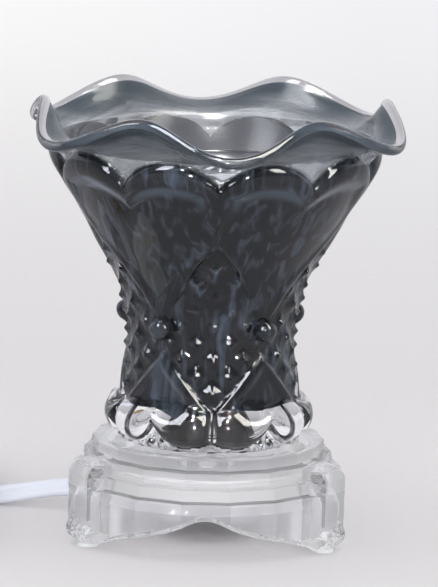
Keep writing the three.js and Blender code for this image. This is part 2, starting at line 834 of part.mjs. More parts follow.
const coilStart = [coilX, coilY - coilRadius];
const coilEnd = [coilX + coilRadius, coilY];
const upperLayer = cordHeight + layerPitch;

// From the strain relief out through the arch to the start of the coil
const leadPoints = [
  reliefPoint(reliefTipReach + gap).toArray(), reliefPoint(reliefTipReach + 5).toArray(),
  [-46, 26.6, 9.7], [-54.5, 31.2, 8.3], [-64.2, 34.6, 6.2],
  [-76.3, 34.6, cordHeight + 0.6], [-86, 32, cordHeight], [-96, coilStart[1] + 8.2, cordHeight],
  [-104.5, coilStart[1] + 3, cordHeight], [-111.5, coilStart[1] + 0.6, cordHeight],
  [coilStart[0] + cordWidth + gap, coilStart[1], cordHeight],
];

// From the coil's upper layer over the lead and down into the dimmer
const dimmerBack = dimmerY + dimmerLength / 2;
const dimmerFront = dimmerY - dimmerLength / 2;
const dimmerEntry = dimmerSplit;
const bridgePoints = [
  [coilEnd[0], coilEnd[1] - cordWidth - gap, upperLayer], [coilEnd[0] - 0.8, 43, upperLayer],
  [coilEnd[0] - 3.7, 33.5, upperLayer], [coilEnd[0] - 8, 25.5, upperLayer - 0.3],
  [dimmerX + 3.2, dimmerBack + 14, dimmerEntry + 1.4], [dimmerX + 1, dimmerBack + 7.3, dimmerEntry + 0.3],
  [dimmerX, dimmerBack + gap, dimmerEntry],
];

// From the dimmer's front round a half turn on the table to the plug
const plugEntry = plugHeight / 2 + cordLift;
const loopRadius = (dimmerX - plugX) / 2;
const loopPoints = [0, 30, 60, 90, 120, 150, 180].map((degrees) => {
  const turn = THREE.MathUtils.degToRad(degrees);
  const lift = ((degrees < 90 ? dimmerEntry : plugEntry) - cordHeight) * Math.cos(turn) ** 2;
  return [
    plugX + loopRadius + loopRadius * Math.cos(turn), dimmerFront - 4 - loopRadius * Math.sin(turn),
    cordHeight + lift,
  ];
});
const plugLeadPoints = [
  [dimmerX, dimmerFront - gap, dimmerEntry], ...loopPoints, [plugX, plugY - gap, plugEntry],
];

// Angle, radius and height of the coil's centreline after some turns, wound clockwise from its front
function coilAt(turns) {
  const spiral = Math.min(turns, coilTurns - turns);
  const middle = coilTurns / 2;
  const climb = THREE.MathUtils.clamp((turns - middle) / 0.5 + 0.5, 0, 1);
  const fromTie = Math.abs(turns - Math.floor(turns) - tieTurns);
  const raised = 2 * (tieThickness + cordLift) * Math.exp(-((fromTie * 360 / 22) ** 2));
  const angle = -Math.PI / 2 - 2 * Math.PI * turns;
  return { angle, radius: coilRadius - turnPitch * spiral, z: cordHeight + layerPitch * climb + raised };
}

function coilSection(centre, outwards) {
  const [half, core] = [cordWidth / 2, cordThickness / 2];
  const outline = [[half, 0], [half - core, core], [core - half, core], [-half, 0], [core - half, -core],
    [half - core, -core]];
  return outline.map(([up, out]) => centre.clone().addScaledVector(outwards, out)
    .add(new THREE.Vector3(0, 0, up)));
}

function coilCentres() {
  const steps = Math.round(coilTurns * stepsPerTurn);
  const centres = [];
  for (let i = 0; i <= steps; i++) {
    const { angle, radius, z } = coilAt(coilTurns * i / steps);
    const outwards = new THREE.Vector3(Math.cos(angle), Math.sin(angle), 0);
    const at = new THREE.Vector3(coilX, coilY, z).addScaledVector(outwards, radius);
    centres.push({ at, outwards });
  }
  const [first, last] = [centres[0], centres.at(-1)];
  const before = { at: first.at.clone().add(new THREE.Vector3(cordWidth, 0, 0)), outwards: first.outwards };
  const after = { at: last.at.clone().add(new THREE.Vector3(0, -cordWidth, 0)), outwards: last.outwards };
  return [before, ...centres, after];
}

function coilGeometry() {
  return loft(coilCentres().map(({ at, outwards }) => coilSection(at, outwards)));
}

// The least distance between the surfaces of two turns, sampled on the tube's own points and edges
function coilGap() {
  const rings = coilCentres().map(({ at, outwards }) => coilSection(at, outwards));
  const fine = [];
  for (let i = 0; i < rings.length - 1; i++) {
    for (const t of [0, 0.25, 0.5, 0.75]) {
      const points = rings[i].map((p, j) => p.clone().lerp(rings[i + 1][j], t));
      const between = points.map((p, j) => p.clone().lerp(points[(j + 1) % points.length], 0.5));
      fine.push({ step: i + t, points: [...points, ...between] });
    }
  }
  let least = Infinity;
  for (let i = 0; i < fine.length; i++) {
    for (let j = i + 1; j < fine.length; j++) {
      if (fine[j].step - fine[i].step < stepsPerTurn / 2) continue;
      for (const a of fine[i].points) {
        for (const b of fine[j].points) least = Math.min(least, a.distanceTo(b));
      }
    }
  }
  return least;
}

function tieGeometry() {
  const radii = [];
  for (let turns = tieTurns; turns < coilTurns; turns++) radii.push(coilAt(turns).radius);
  const [near, far] = [Math.min(...radii), Math.max(...radii)];
  const { angle, z } = coilAt(tieTurns);
  const side = cordThickness / 2 + tieClearance;
  const [bottom, top] = [cordLift, z + layerPitch + cordWidth / 2 + tieClearance + tieThickness];
  const width = far - near + 2 * side + 2 * tieThickness;
  const strap = block(width, tieWidth, top - bottom);
  const bundle = block(width - 2 * tieThickness, 2 * tieWidth, top - bottom - 2 * tieThickness);
  const reach = (near + far) / 2;
  return cut(strap, bundle).rotateZ(angle).translate(
    coilX + reach * Math.cos(angle), coilY + reach * Math.sin(angle), (bottom + top) / 2,
  );
}

// Dimmer, in its own frame: long side along Y, z = 0 on the table

const caseLift = 0.1;
const shaftTop = dimmerHeight - wheelRecess - gap;

function caseOutline(inset = 0) {
  return roundedOutline(dimmerWidth - 2 * inset, dimmerLength - 2 * inset, dimmerCorner - inset);
}

function dimmerLowerGeometry() {
  const split = dimmerSplit - gap / 2;
  const bosses = screwEnds((y) => cut(
    disc(dimmerBossRadius, dimmerWall - 0.1, split, 12).translate(0, y, 0),
    disc(dimmerScrewRadius + gap / 2, 0, dimmerHeight, 10).translate(0, y, 0),
  ));
  const holes = screwEnds((y) => disc(dimmerScrewRadius * 2, -1, dimmerWall - 0.4, 12).translate(0, y, 0));
  const bores = screwEnds((y) => disc(dimmerScrewRadius + gap / 2, -1, dimmerWall + 1, 10).translate(0, y, 0));
  const shell = cut(slab(caseOutline(), caseLift, split), slab(caseOutline(dimmerWall), dimmerWall, split + 1));
  return cut(join(shell, ...bosses), ...holes, ...bores);
}

function dimmerUpperGeometry() {
  const split = dimmerSplit + gap / 2;
  const shell = cut(
    slab(caseOutline(), split, dimmerHeight),
    slab(caseOutline(dimmerWall), split - 1, dimmerHeight - wheelRecess - dimmerWall),
    disc(wheelRadius + gap, dimmerHeight - wheelRecess, dimmerHeight + 1),
    disc(spindleRadius + gap, split, dimmerHeight, 16),
  );
  const bosses = screwEnds((y) => cut(
    disc(dimmerBossRadius, split, dimmerHeight - wheelRecess - dimmerWall + 0.1, 12).translate(0, y, 0),
    disc(dimmerScrewRadius + gap / 2, 0, split + 4, 10).translate(0, y, 0),
  ));
  return join(shell, ...bosses);
}

function screwEnds(make) {
  return [-1, 1].map((side) => make(side * dimmerScrewSpacing / 2));
}

function wheelGeometry() {
  const shape = new THREE.Shape();
  for (let i = 0; i < 2 * wheelRibs; i++) {
    const angle = Math.PI * i / wheelRibs;
    const radius = i % 2 ? wheelRadius - 0.6 : wheelRadius;
    const [x, y] = [radius * Math.cos(angle), radius * Math.sin(angle)];
    if (i) shape.lineTo(x, y);
    else shape.moveTo(x, y);
  }
  const bottom = dimmerHeight - wheelRecess + gap;
  const rim = slab(shape, bottom, bottom + wheelHeight);
  const pointer = block(1.2, wheelRadius / 2, 1).translate(0, wheelRadius * 0.6, bottom + wheelHeight);
  const socket = disc(spindleRadius * 0.6 + gap / 2, bottom - 1, bottom + 2, 12);
  return cut(rim, pointer, socket);
}

const boardBottom = dimmerWall + 2.2;

function boardGeometry() {
  const board = block(dimmerWidth - 2 * dimmerWall - 1.2, dimmerScrewSpacing - 2 * dimmerBossRadius - 1, boardThickness);
  return board.translate(0, 0, boardBottom + boardThickness / 2);
}

function potentiometerGeometry() {
  const bottom = boardBottom + boardThickness + gap;
  const shoulder = dimmerHeight - wheelRecess - dimmerWall - gap;
  return lathe([
    [0, bottom], [7, bottom], [7, shoulder - 1], [spindleRadius, shoulder - 1], [spindleRadius, shaftTop],
    [spindleRadius * 0.6, shaftTop], [spindleRadius * 0.6, shaftTop + 2], [0, shaftTop + 2],
  ], 16);
}

// Plug, in its own frame: the cord enters at y = 0, the blades point along +Y

function plugGeometry() {
  const rings = [];
  for (const [y, share] of [[0, 0.42], [0.25, 0.5], [0.5, 0.8], [1, 1]]) {
    rings.push(plugRing(y * plugTaper, share));
  }
  rings.push(plugRing(plugLength - 2, 1), plugRing(plugLength, 0.9));
  const slots = [-1, 1].map((side) => bladeBlock(gap).translate(side * bladeSpacing / 2, plugLength, 0));
  return cut(loft(rings), ...slots);
}

function plugRing(y, share) {
  const [x, z] = [plugWidth / 2 * share, plugHeight / 2 * Math.max(share, 0.55)];
  const corner = 0.4 * z;
  return [
    [x, z - corner], [x - corner, z], [corner - x, z], [-x, z - corner],
    [-x, corner - z], [corner - x, -z], [x - corner, -z], [x, corner - z],
  ].map(([px, pz]) => new THREE.Vector3(px, y, pz));
}

const bladeRoot = 8;

function bladeBlock(grow = 0) {
  const length = bladeLength + bladeRoot;
  return block(bladeThickness + 2 * grow, length + 2 * grow, bladeWidth + 2 * grow)
    .translate(0, length / 2 - bladeRoot, 0);
}

// Assembly

function addPiece(group, name, geometry, material) {
  const mesh = new THREE.Mesh(geometry, material);
  mesh.name = name;
  group.add(mesh);
  return mesh;
}

function buildBase() {
  const group = new THREE.Group();
  addPiece(group, "glass_base", baseGeometry(), clearGlass());
  for (let i = 0; i < archCount; i++) {
    const pad = addPiece(group, `foot_pad_${i + 1}`, padGeometry(), clearRubber());
    pad.position.copy(around(padReach, (i + 0.5) * 360 / archCount, 0));
  }
  return group;
}

function buildHolder() {
  const group = new THREE.Group();
  addPiece(group, "holder_washer", holderWasherGeometry(), clearRubber());
  addPiece(group, "holder_plate", plateGeometry(), blackSteel());
  addPiece(group, "lampholder", holderGeometry(), blackPhenolic());
  addPiece(group, "threaded_tube",
    ring(threadBore, threadRadius, threadBottom, plateTop + gap + nutHeight), steel());
  addPiece(group, "upper_nut", nutGeometry(plateTop + gap), steel());
  addPiece(group, "lock_washer", ring(threadRadius + gap, nutRadius, washerTop - 0.8, washerTop), steel());
  addPiece(group, "lower_nut", nutGeometry(washerTop - 0.8 - gap - nutHeight), steel());
  for (const [side, name] of [[-1, "left"], [1, "right"]]) {
    addPiece(group, `holder_contact_${name}`, contactGeometry(side), brass());
    addPiece(group, `lamp_lead_${name}`, wire(lampLeadPoints(side), leadRadius, 14, 6), whitePlastic());
    const bolt = addPiece(group, `holder_screw_${name}`,
      screw(holderScrewRadius, holderScrewLength, holderScrewHeadRadius, 1), steel());
    bolt.position.set(0, side * holderScrewSpacing / 2, plateBottom - gap - 1);
  }
  return group;
}

function buildWiringCup() {
  const group = new THREE.Group();
  addPiece(group, "wiring_cup", cupGeometry(), greyPlastic());
  addPiece(group, "cup_cover", coverGeometry(), greyPlastic());
  const terminal = addPiece(group, "terminal_block", block(blockWidth, blockDepth, blockHeight), whitePlastic());
  terminal.position.set(0, -blockSetback, blockTop - blockHeight / 2);
  for (const [side, name] of [[-1, "left"], [1, "right"]]) {
    const bolt = addPiece(group, `cover_screw_${name}`, screw(coverScrewRadius, 7, 2.6, 1), steel());
    bolt.position.set(side * coverScrewSpacing / 2, 0, coverTop - cupCoverThickness - gap - 1);
    addPiece(group, `cord_core_${name}`, wire(cordCorePoints(-side), leadRadius, 8, 6), whitePlastic());
  }
  addPiece(group, "strain_relief", reliefGeometry(), whiteVinyl());
  return group;
}

function buildLamp() {
  const group = new THREE.Group();
  addPiece(group, "lamp_cap", capGeometry(), whiteCeramic());
  addPiece(group, "lamp_reflector", reflectorGeometry(), mirrorCoat());
  addPiece(group, "lamp_front_glass",
    disc(lampRadius - lampRimWidth - gap, glassBottom, glassBottom + frontGlassThickness, 36), clearGlass());
  addPiece(group, "lamp_capsule", capsuleGeometry(), clearGlass());
  for (const [side, name] of [[-1, "left"], [1, "right"]]) {
    const stud = addPiece(group, `lamp_stud_${name}`, studGeometry(), brass());
    stud.position.set(side * studSpacing / 2, 0, 0);
  }
  group.position.z = lampBottom;
  return group;
}

function buildShade() {
  const group = new THREE.Group();
  addPiece(group, "glass_shade", shadeGeometry(), smokyGlass());
  addPiece(group, "oil_dish", dishGeometry(), clearGlass());
  group.position.z = baseTop + gap;
  return group;
}

function buildCord() {
  const group = new THREE.Group();
  addPiece(group, "cord_lead", cordGeometry(leadPoints, 12), whiteVinyl());
  addPiece(group, "cord_coil", coilGeometry(), whiteVinyl());
  addPiece(group, "cord_bridge", cordGeometry(bridgePoints, 8), whiteVinyl());
  addPiece(group, "plug_lead", cordGeometry(plugLeadPoints, 14), whiteVinyl());
  addPiece(group, "coil_tie", tieGeometry(), whitePlastic());
  console.log(`least gap between turns of cord_coil: ${coilGap().toFixed(2)} mm`);
  return group;
}

function buildDimmer() {
  const group = new THREE.Group();
  addPiece(group, "dimmer_case_lower", dimmerLowerGeometry(), whitePlastic());
  addPiece(group, "dimmer_case_upper", dimmerUpperGeometry(), whitePlastic());
  addPiece(group, "dimmer_wheel", wheelGeometry(), whitePlastic());
  addPiece(group, "dimmer_board", boardGeometry(), circuitBoard());
  addPiece(group, "dimmer_potentiometer", potentiometerGeometry(), steel());
  for (const [side, name] of [[-1, "front"], [1, "back"]]) {
    const bolt = addPiece(group, `dimmer_screw_${name}`, screw(dimmerScrewRadius, 11, 2.1, 0.8), steel());
    bolt.position.set(0, side * dimmerScrewSpacing / 2, caseLift);
  }
  group.position.set(dimmerX, dimmerY, 0);
  return group;
}

function buildPlug() {
  const group = new THREE.Group();
  addPiece(group, "plug_body", plugGeometry(), whiteVinyl());
  for (const [side, name] of [[-1, "left"], [1, "right"]]) {
    const blade = addPiece(group, `plug_blade_${name}`, bladeBlock(), brass());
    blade.position.set(side * bladeSpacing / 2, plugLength, 0);
  }
  group.position.set(plugX, plugY, plugEntry);
  return group;
}

const oilBurner = new THREE.Group();
oilBurner.add(
  buildBase(), buildHolder(), buildWiringCup(), buildLamp(), buildShade(), buildCord(), buildDimmer(), buildPlug(),
);

export default oilBurner;
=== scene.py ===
"""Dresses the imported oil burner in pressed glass, with its lamp, cord, dimmer and plug.

The file is laid out as an add-on: property groups hold the sizes and colours, and one operator
makes each piece or group of like pieces. Run as a script, it calls them in order around the
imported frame. Lengths inside the shape functions are millimetres, angles are degrees from the
front towards +X, and heights of the shade are above its foot, all as in the part's source.
"""

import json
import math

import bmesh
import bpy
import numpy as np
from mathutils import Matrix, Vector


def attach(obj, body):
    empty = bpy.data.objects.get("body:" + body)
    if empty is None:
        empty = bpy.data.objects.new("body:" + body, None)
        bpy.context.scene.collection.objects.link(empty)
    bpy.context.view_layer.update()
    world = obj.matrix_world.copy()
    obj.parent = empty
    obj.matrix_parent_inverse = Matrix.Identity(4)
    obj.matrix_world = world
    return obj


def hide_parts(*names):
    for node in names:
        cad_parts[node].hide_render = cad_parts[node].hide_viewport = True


bl_info = {
    "name": "Oil Burner Dressing",
    "version": (1, 0, 0),
    "blender": (4, 5, 0),
    "location": "3D View > Sidebar > Oil Burner",
    "description": "Pressed glass, lamp, cord, dimmer and plug of an electric oil burner",
    "category": "Object",
}

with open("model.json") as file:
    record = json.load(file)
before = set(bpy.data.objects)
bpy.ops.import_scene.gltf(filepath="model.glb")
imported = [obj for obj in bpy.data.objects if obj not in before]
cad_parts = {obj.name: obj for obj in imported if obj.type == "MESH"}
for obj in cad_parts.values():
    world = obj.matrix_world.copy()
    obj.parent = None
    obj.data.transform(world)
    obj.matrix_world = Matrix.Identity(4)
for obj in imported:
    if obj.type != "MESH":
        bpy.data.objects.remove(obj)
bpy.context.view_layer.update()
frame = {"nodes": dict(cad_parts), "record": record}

MM = 0.001


# Measures that the part's source also has

FACETS = 18
SKIRT_RADIUS = 51.5
SKIRT_TOP = 22.2
TIER_1_RADIUS = 49.5
TIER_1_TOP = 26.8
TIER_2_RADIUS = 46.0
TIER_2_TOP = 32.3
TIER_3_RADIUS = 43.0
BASE_TOP = 36.9
SKIRT_WALL = 6.0
CEILING = 28.5
CEILING_RADIUS = 38.0
BORE_RADIUS = 5.3
FOOT_BOTTOM = 1.5
PILLARS = (60, 180, 300)
PILLAR_HALF_ANGLE = 10
PILLAR_TOP = 31.3

SHADE_FOOT = 37.2
HEARTS = 5
FIRST_HEART = -34
SECTOR = 360 / HEARTS
RUFFLES = 6
BODY_HEIGHT = 111.1
BODY_OUTLINE = np.array([
    (0, 33), (5, 33), (12, 32.2), (20, 31), (34, 29.8), (44, 30.2), (51, 31.6),
    (59, 34.1), (66.3, 37.4), (74, 41.8), (87, 49.3), (96.5, 54.2), (103, 56.7), (111.1, 59),
])
WALL_AT_FOOT = 4
WALL_AT_WAIST = 2.8
WALL_AT_COLLAR = 3.6
WAIST = 34
HEART_TIP = 42.5
HEART_SHOULDER = 79
HEART_CLEFT = 102.1
HEART_MERGE_HEIGHT = 9
HEART_MERGE_WIDTH = 4
LOBE_ROUND = 0.9
LOWER_TIP = 36.4
LOWER_SHOULDER = 14.9
LOWER_CLEFT = 9.8
LOWER_NOTCH = 4
LOBE_BOTTOM = 1.6
LOBE_RELIEF = 6.2
LOBE_TOP = 16.3
LOBE_CORNER = 1.8
PEARL_HEIGHT = 44.6
PEARL_RADIUS = 4
PEARL_SEAT = 2.3
POINT_PITCH_ANGLE = 21.5
POINT_PITCH_HEIGHT = 12.4
POINT_RELIEF = 2
POINT_ROW = 40.6
GROOVE_FLOOR = 0.5
LIP_RADIUS = 69.25
LIP_WAVE_RADIUS = 4.25
LIP_HEIGHT = 121
LIP_WAVE_HEIGHT = 5.44
LIP_PEAK = -24.7
LIP_THICKNESS = 3.4

DISH_SEAT = 93
DISH_RIM = 99.5
DISH_FLOOR = 81
DISH_FLOOR_RADIUS = 28
DISH_WALL = 3
DISH_GAP = 0.35

CORD_HALF_HEIGHT = 3.6
COIL_CENTRE = (-125.5, 60)
COIL_TURNS = 6.75
COIL_RADIUS = 42
COIL_TURN_PITCH = 4
COIL_LAYER_PITCH = 7.6
TIE_TURNS = 0.25
TIE_RISE = 1.8

LEAD_ROUTE = (
    (-34.9, 20.15, 11.43), (-38.97, 22.5, 10.37), (-46, 26.6, 9.7), (-54.5, 31.2, 8.3),
    (-64.2, 34.6, 6.2), (-76.3, 34.6, 4.2), (-86, 32, 3.6), (-96, 26.2, 3.6), (-104.5, 21, 3.6),
    (-111.5, 18.6, 3.6), (-118.2, 18, 3.6),
)
BRIDGE_ROUTE = (
    (-83.5, 52.7, 11.2), (-84.3, 43, 11.2), (-87.2, 33.5, 11.2), (-91.5, 25.5, 10.9),
    (-95.8, 18, 9.9), (-98, 11.3, 8.8), (-99, 4.3, 8.5),
)
PLUG_ROUTE = (
    (-99, -56.3, 8.5), (-99, -60, 8.5), (-102.89, -74.5, 7.28), (-113.5, -85.11, 4.83),
    (-128, -89, 3.6), (-142.5, -85.11, 4.73), (-153.11, -74.5, 6.98), (-157, -60, 8.1),
    (-157, -48.3, 8.1),
)


def linear(code):
    """Linear colour and full alpha of an sRGB hex code."""
    channels = [int(code[i:i + 2], 16) / 255 for i in (0, 2, 4)]
    return [c / 12.92 if c <= 0.04045 else ((c + 0.055) / 1.055) ** 2.4 for c in channels] + [1.0]


# Sizes and colours that a user would change

def size_property(name, description, default, **settings):
    return bpy.props.FloatProperty(
        name=name, description=description, default=default, **(settings or {"unit": "LENGTH"}))


def colour_property(name, description, code):
    return bpy.props.FloatVectorProperty(
        name=name, description=description, default=linear(code), size=4, subtype="COLOR",
        min=0, max=1)


class BurnerSizes(bpy.types.PropertyGroup):
    lining_depth: size_property(
        "Lining depth", "How far the dark lining lies inside the hearts' surface", 1.1 * MM)
    lining_thickness: size_property(
        "Lining thickness", "Thickness of the dark lining away from the hearts", 0.7 * MM)
    lining_end: size_property(
        "Lining end", "Height above the shade's foot where the dark lining ends", 12 * MM)
    cord_width: size_property("Cord width", "Width of the flat twin cord", 7 * MM)
    cord_thickness: size_property("Cord thickness", "Thickness of the flat twin cord", 3.5 * MM)
    camera_distance: size_property(
        "Camera distance", "From the camera to the middle of the burner", 1.8)
    camera_lens: size_property(
        "Camera lens", "Focal length on a 36 mm sensor", 298.3, unit="CAMERA")
    camera_height: size_property(
        "Camera elevation", "Angle at which the camera looks down", math.radians(10.89),
        subtype="ANGLE")
    camera_roll: size_property(
        "Camera roll", "How far the picture is turned clockwise", math.radians(1.49),
        subtype="ANGLE")


class BurnerColours(bpy.types.PropertyGroup):
    clear: colour_property("Clear glass", "Tint of the clear pressed glass", "fcfcfd")
    smoke: colour_property("Smoky glass", "Dark lining in the hearts and the points", "131417")
    # Streak colour, also used for the painted reflection in a crescent under each heart's roll
    streak_and_painted_crescent: colour_property("Smoky streaks", "Bluish streaks in the dark lining", "3d4651")
    haze: colour_property("Collar haze", "Pale part of the collar's marbled grey", "b6babd")
    haze_dark: colour_property("Collar smoke", "Dark part of the collar's marbled grey", "3f474f")
    cord: colour_property("Cord", "White vinyl of the cord, strain relief and plug", "dcdfea")
    plastic: colour_property("Plastic", "White moulded plastic of the dimmer", "f1f1ef")
    floor: colour_property("Table", "Table under the burner", "d6d4d4")
    backdrop: colour_property("Backdrop", "Background behind the table", "f5f5f5")
    # Painted light: the backdrop is lighter at the left, as if lit from that side
    backdrop_painted_light: colour_property(
        "Backdrop left", "Background behind the table at the left", "fffefc")


def sizes():
    return bpy.context.scene.burner_sizes


def colour(name):
    """One of the colours that the user chose."""
    return list(getattr(bpy.context.scene.burner_colours, name))


# Small helpers for meshes

# Points that a route gets between two of its own, before they are spaced evenly
ROUTE_DETAIL = 24


def around(radius, degrees, z):
    """Points in metres at a radius and an angle from the front, from millimetres."""
    turn = np.radians(degrees)
    radius, turn, z = np.broadcast_arrays(radius, turn, z)
    return np.stack([radius * np.sin(turn), -radius * np.cos(turn), z], axis=-1) * MM


def smooth_step(value, low, high):
    t = np.clip((value - low) / (high - low), 0, 1)
    return t * t * (3 - 2 * t)


def band(value, start, whole, eases, end):
    """0 outside a band and 1 inside it, with a smooth step at each side."""
    return smooth_step(value, start, whole) * (1 - smooth_step(value, eases, end))


def bell(distance, spread):
    """1 in the middle, falling away smoothly on both sides."""
    return np.exp(-((distance / spread) ** 2))


def quarter_round(share):
    """Height of a quarter circle, from 0 at its edge to 1 inside it."""
    return np.sqrt(1 - (1 - np.clip(share, 0, 1)) ** 2)


def curve_through(outline, z):
    """Radius at heights z on a smooth curve through an outline's points."""
    heights, radii = outline[:, 0], outline[:, 1]
    last = len(heights) - 1
    before = np.maximum(np.arange(last + 1) - 1, 0)
    after = np.minimum(np.arange(last + 1) + 1, last)
    slopes = (radii[after] - radii[before]) / (heights[after] - heights[before])
    i = np.clip(np.searchsorted(heights, z, side="right") - 1, 0, last - 1)
    span = heights[i + 1] - heights[i]
    t = np.clip((z - heights[i]) / span, 0, 1)
    ends = radii[i] * (1 + 2 * t) * (1 - t) ** 2 + radii[i + 1] * t * t * (3 - 2 * t)
    return ends + span * t * (1 - t) * (slopes[i] * (1 - t) - slopes[i + 1] * t)


def smooth_route(points, steps):
    """Evenly placed points in metres on a smooth curve through a route's points."""
    points = [Vector(p) * MM for p in points]
    before, after = 2 * points[0] - points[1], 2 * points[-1] - points[-2]
    points = [before, *points, after]
    fine = []
    for i in range(1, len(points) - 2):
        a, b, c, d = points[i - 1:i + 3]
        for k in range(ROUTE_DETAIL):
            t = k / ROUTE_DETAIL
            fine.append(0.5 * (
                2 * b + (c - a) * t + (2 * a - 5 * b + 4 * c - d) * t ** 2
                + (3 * b - a - 3 * c + d) * t ** 3))
    fine.append(points[-2])
    fine = np.array(fine)
    reach = np.concatenate([[0], np.cumsum(np.linalg.norm(np.diff(fine, axis=0), axis=1))])
    wanted = np.linspace(0, reach[-1], steps + 1)
    return np.stack([np.interp(wanted, reach, fine[:, k]) for k in range(3)], axis=-1)


def loft(name, rings, closed=False):
    """A tube through rings of points. It is capped at both ends, or closed on itself."""
    rings = np.asarray(rings, float)
    count, around_count = rings.shape[:2]
    faces = []
    for i in range(count if closed else count - 1):
        start, after = i * around_count, (i + 1) % count * around_count
        for j in range(around_count):
            k = (j + 1) % around_count
            faces.append((start + j, start + k, after + k, after + j))
    if not closed:
        faces.append(tuple(reversed(range(around_count))))
        faces.append(tuple((count - 1) * around_count + j for j in range(around_count)))
    mesh = bpy.data.meshes.new(name)
    mesh.from_pydata([tuple(v) for v in rings.reshape(-1, 3)], [], faces)
    mesh.validate()
    piece = bpy.data.objects.new(name, mesh)
    bpy.context.scene.collection.objects.link(piece)
    outwards(piece)
    return piece


def outwards(piece):
    """Merge doubles and turn every face outwards."""
    shell = bmesh.new()
    shell.from_mesh(piece.data)
    bmesh.ops.remove_doubles(shell, verts=shell.verts, dist=1e-7)
    bmesh.ops.recalc_face_normals(shell, faces=shell.faces)
    shell.to_mesh(piece.data)
    shell.free()


def smooth(piece, degrees):
    """Smooth shading, with sharp edges kept where faces meet at more than an angle."""
    piece.data.shade_smooth()
    piece.data.set_sharp_from_angle(angle=math.radians(degrees))


def light(piece, group):
    """Let the lamps of a group light a piece."""
    bpy.data.collections[group].objects.link(piece)


def dress(piece, material, body, replaced):
    """Give a new piece its finish and body, and the CAD nodes that it stands for."""
    piece.data.materials.append(material)
    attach(piece, body)
    if body == "base":
        light(piece, FILL_LIT)
    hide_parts(*replaced)


# Materials

# How much darker and glossier a plain finish gets in its clouds
CLOUD_TONE = 0.06
CLOUD_GLOSS = 0.15


def new_material(name):
    material = bpy.data.materials.new(name)
    material.use_nodes = True
    material.node_tree.nodes.clear()
    return material


def add_node(material, kind, sockets=None, **settings):
    """Add one shader node with its settings, and set or link its sockets, named or numbered."""
    tree = material.node_tree
    node = tree.nodes.new("ShaderNode" + kind)
    for name, value in settings.items():
        setattr(node, name, value)
    for name, value in (sockets or {}).items():
        if isinstance(value, bpy.types.NodeSocket):
            tree.links.new(value, node.inputs[name])
        else:
            node.inputs[name].default_value = value
    return node


def remap(material, value, low=0.0, high=1.0, to_low=0.0, to_high=1.0, **settings):
    """A value moved from one range to another, and held inside that."""
    return add_node(material, "MapRange", {
        "Value": value, "From Min": low, "From Max": high, "To Min": to_low,
        "To Max": to_high}, **settings).outputs["Result"]


def blend(material, factor, first, second):
    """A colour from the first at factor 0 to the second at 1."""
    # A Mix node's sockets for colours are its inputs 6 and 7 and its output 2
    mix = add_node(material, "Mix", {0: factor, 6: first, 7: second}, data_type="RGBA")
    return mix.outputs[2]


def mix_shaders(material, factor, first, second):
    return add_node(material, "MixShader", {
        0: factor, 1: first.outputs[0], 2: second.outputs[0]})


def surface_of(material, shader):
    add_node(material, "OutputMaterial", {"Surface": shader.outputs[0]})
    return material


def noise(material, scale, detail, distortion=0.0, place=None):
    """A cloudy pattern in the object's own coordinates, or at another place."""
    place = place or add_node(material, "TexCoord").outputs["Object"]
    return add_node(material, "TexNoise", {
        "Vector": place, "Scale": scale, "Detail": detail,
        "Distortion": distortion}).outputs["Fac"]


def bump(material, height, strength, distance_mm):
    return add_node(material, "Bump", {
        "Height": height, "Strength": strength, "Distance": distance_mm * MM}).outputs["Normal"]


def pressed_glass(name="Pressed clear glass", roughness=0.02, clear=1.0, with_painted_facet_light=False):
    """Soda-lime glass, pressed and fire polished: clear, glossy, faintly rippled by the mould."""
    if name in bpy.data.materials:
        return bpy.data.materials[name]
    material = new_material(name)
    # Ripples 9 mm wide
    rippled = bump(material, noise(material, 110, 1.5), 0.35, 0.1)
    tint = colour("clear")
    if with_painted_facet_light:
        # Painted light and shade: the tint is scaled per face, lighter in some facets and darker on
        # some ledges, for the light that the prisms between ledges, flanks and hollow pass
        tone = add_node(material, "Attribute", attribute_name="tone")
        tint = add_node(material, "VectorMath", {
            0: tint[:3], "Scale": tone.outputs["Fac"]}, operation="SCALE").outputs["Vector"]
    glass = add_node(material, "BsdfPrincipled", {
        "Base Color": tint, "Roughness": roughness, "IOR": 1.45, "Transmission Weight": clear,
        "Coat Weight": 0.22, "Coat Roughness": 0.08, "Normal": rippled})
    # Light falls straight through the glass on what is behind, with hardly a shadow
    shadow = add_node(material, "BsdfTransparent", {"Color": linear("fdfdfd")})
    path = add_node(material, "LightPath")
    return surface_of(material, mix_shaders(material, path.outputs["Is Shadow Ray"], glass, shadow))


def thin_glass():
    """Collar and inside, as the mould's plunger made them: clear, and duller than the outside."""
    material = new_material("Pressed clear glass, inside")
    through = add_node(material, "BsdfTransparent", {"Color": colour("clear")})
    gloss = add_node(material, "BsdfAnisotropic", {"Color": linear("ffffff"), "Roughness": 0.22})
    facing = add_node(material, "LayerWeight", {"Blend": 0.5})
    grazing = add_node(material, "Math", {0: facing.outputs["Facing"], 1: 4}, operation="POWER")
    share = remap(material, grazing.outputs["Value"], to_low=0.02, to_high=0.4)
    return surface_of(material, mix_shaders(material, share, through, gloss))


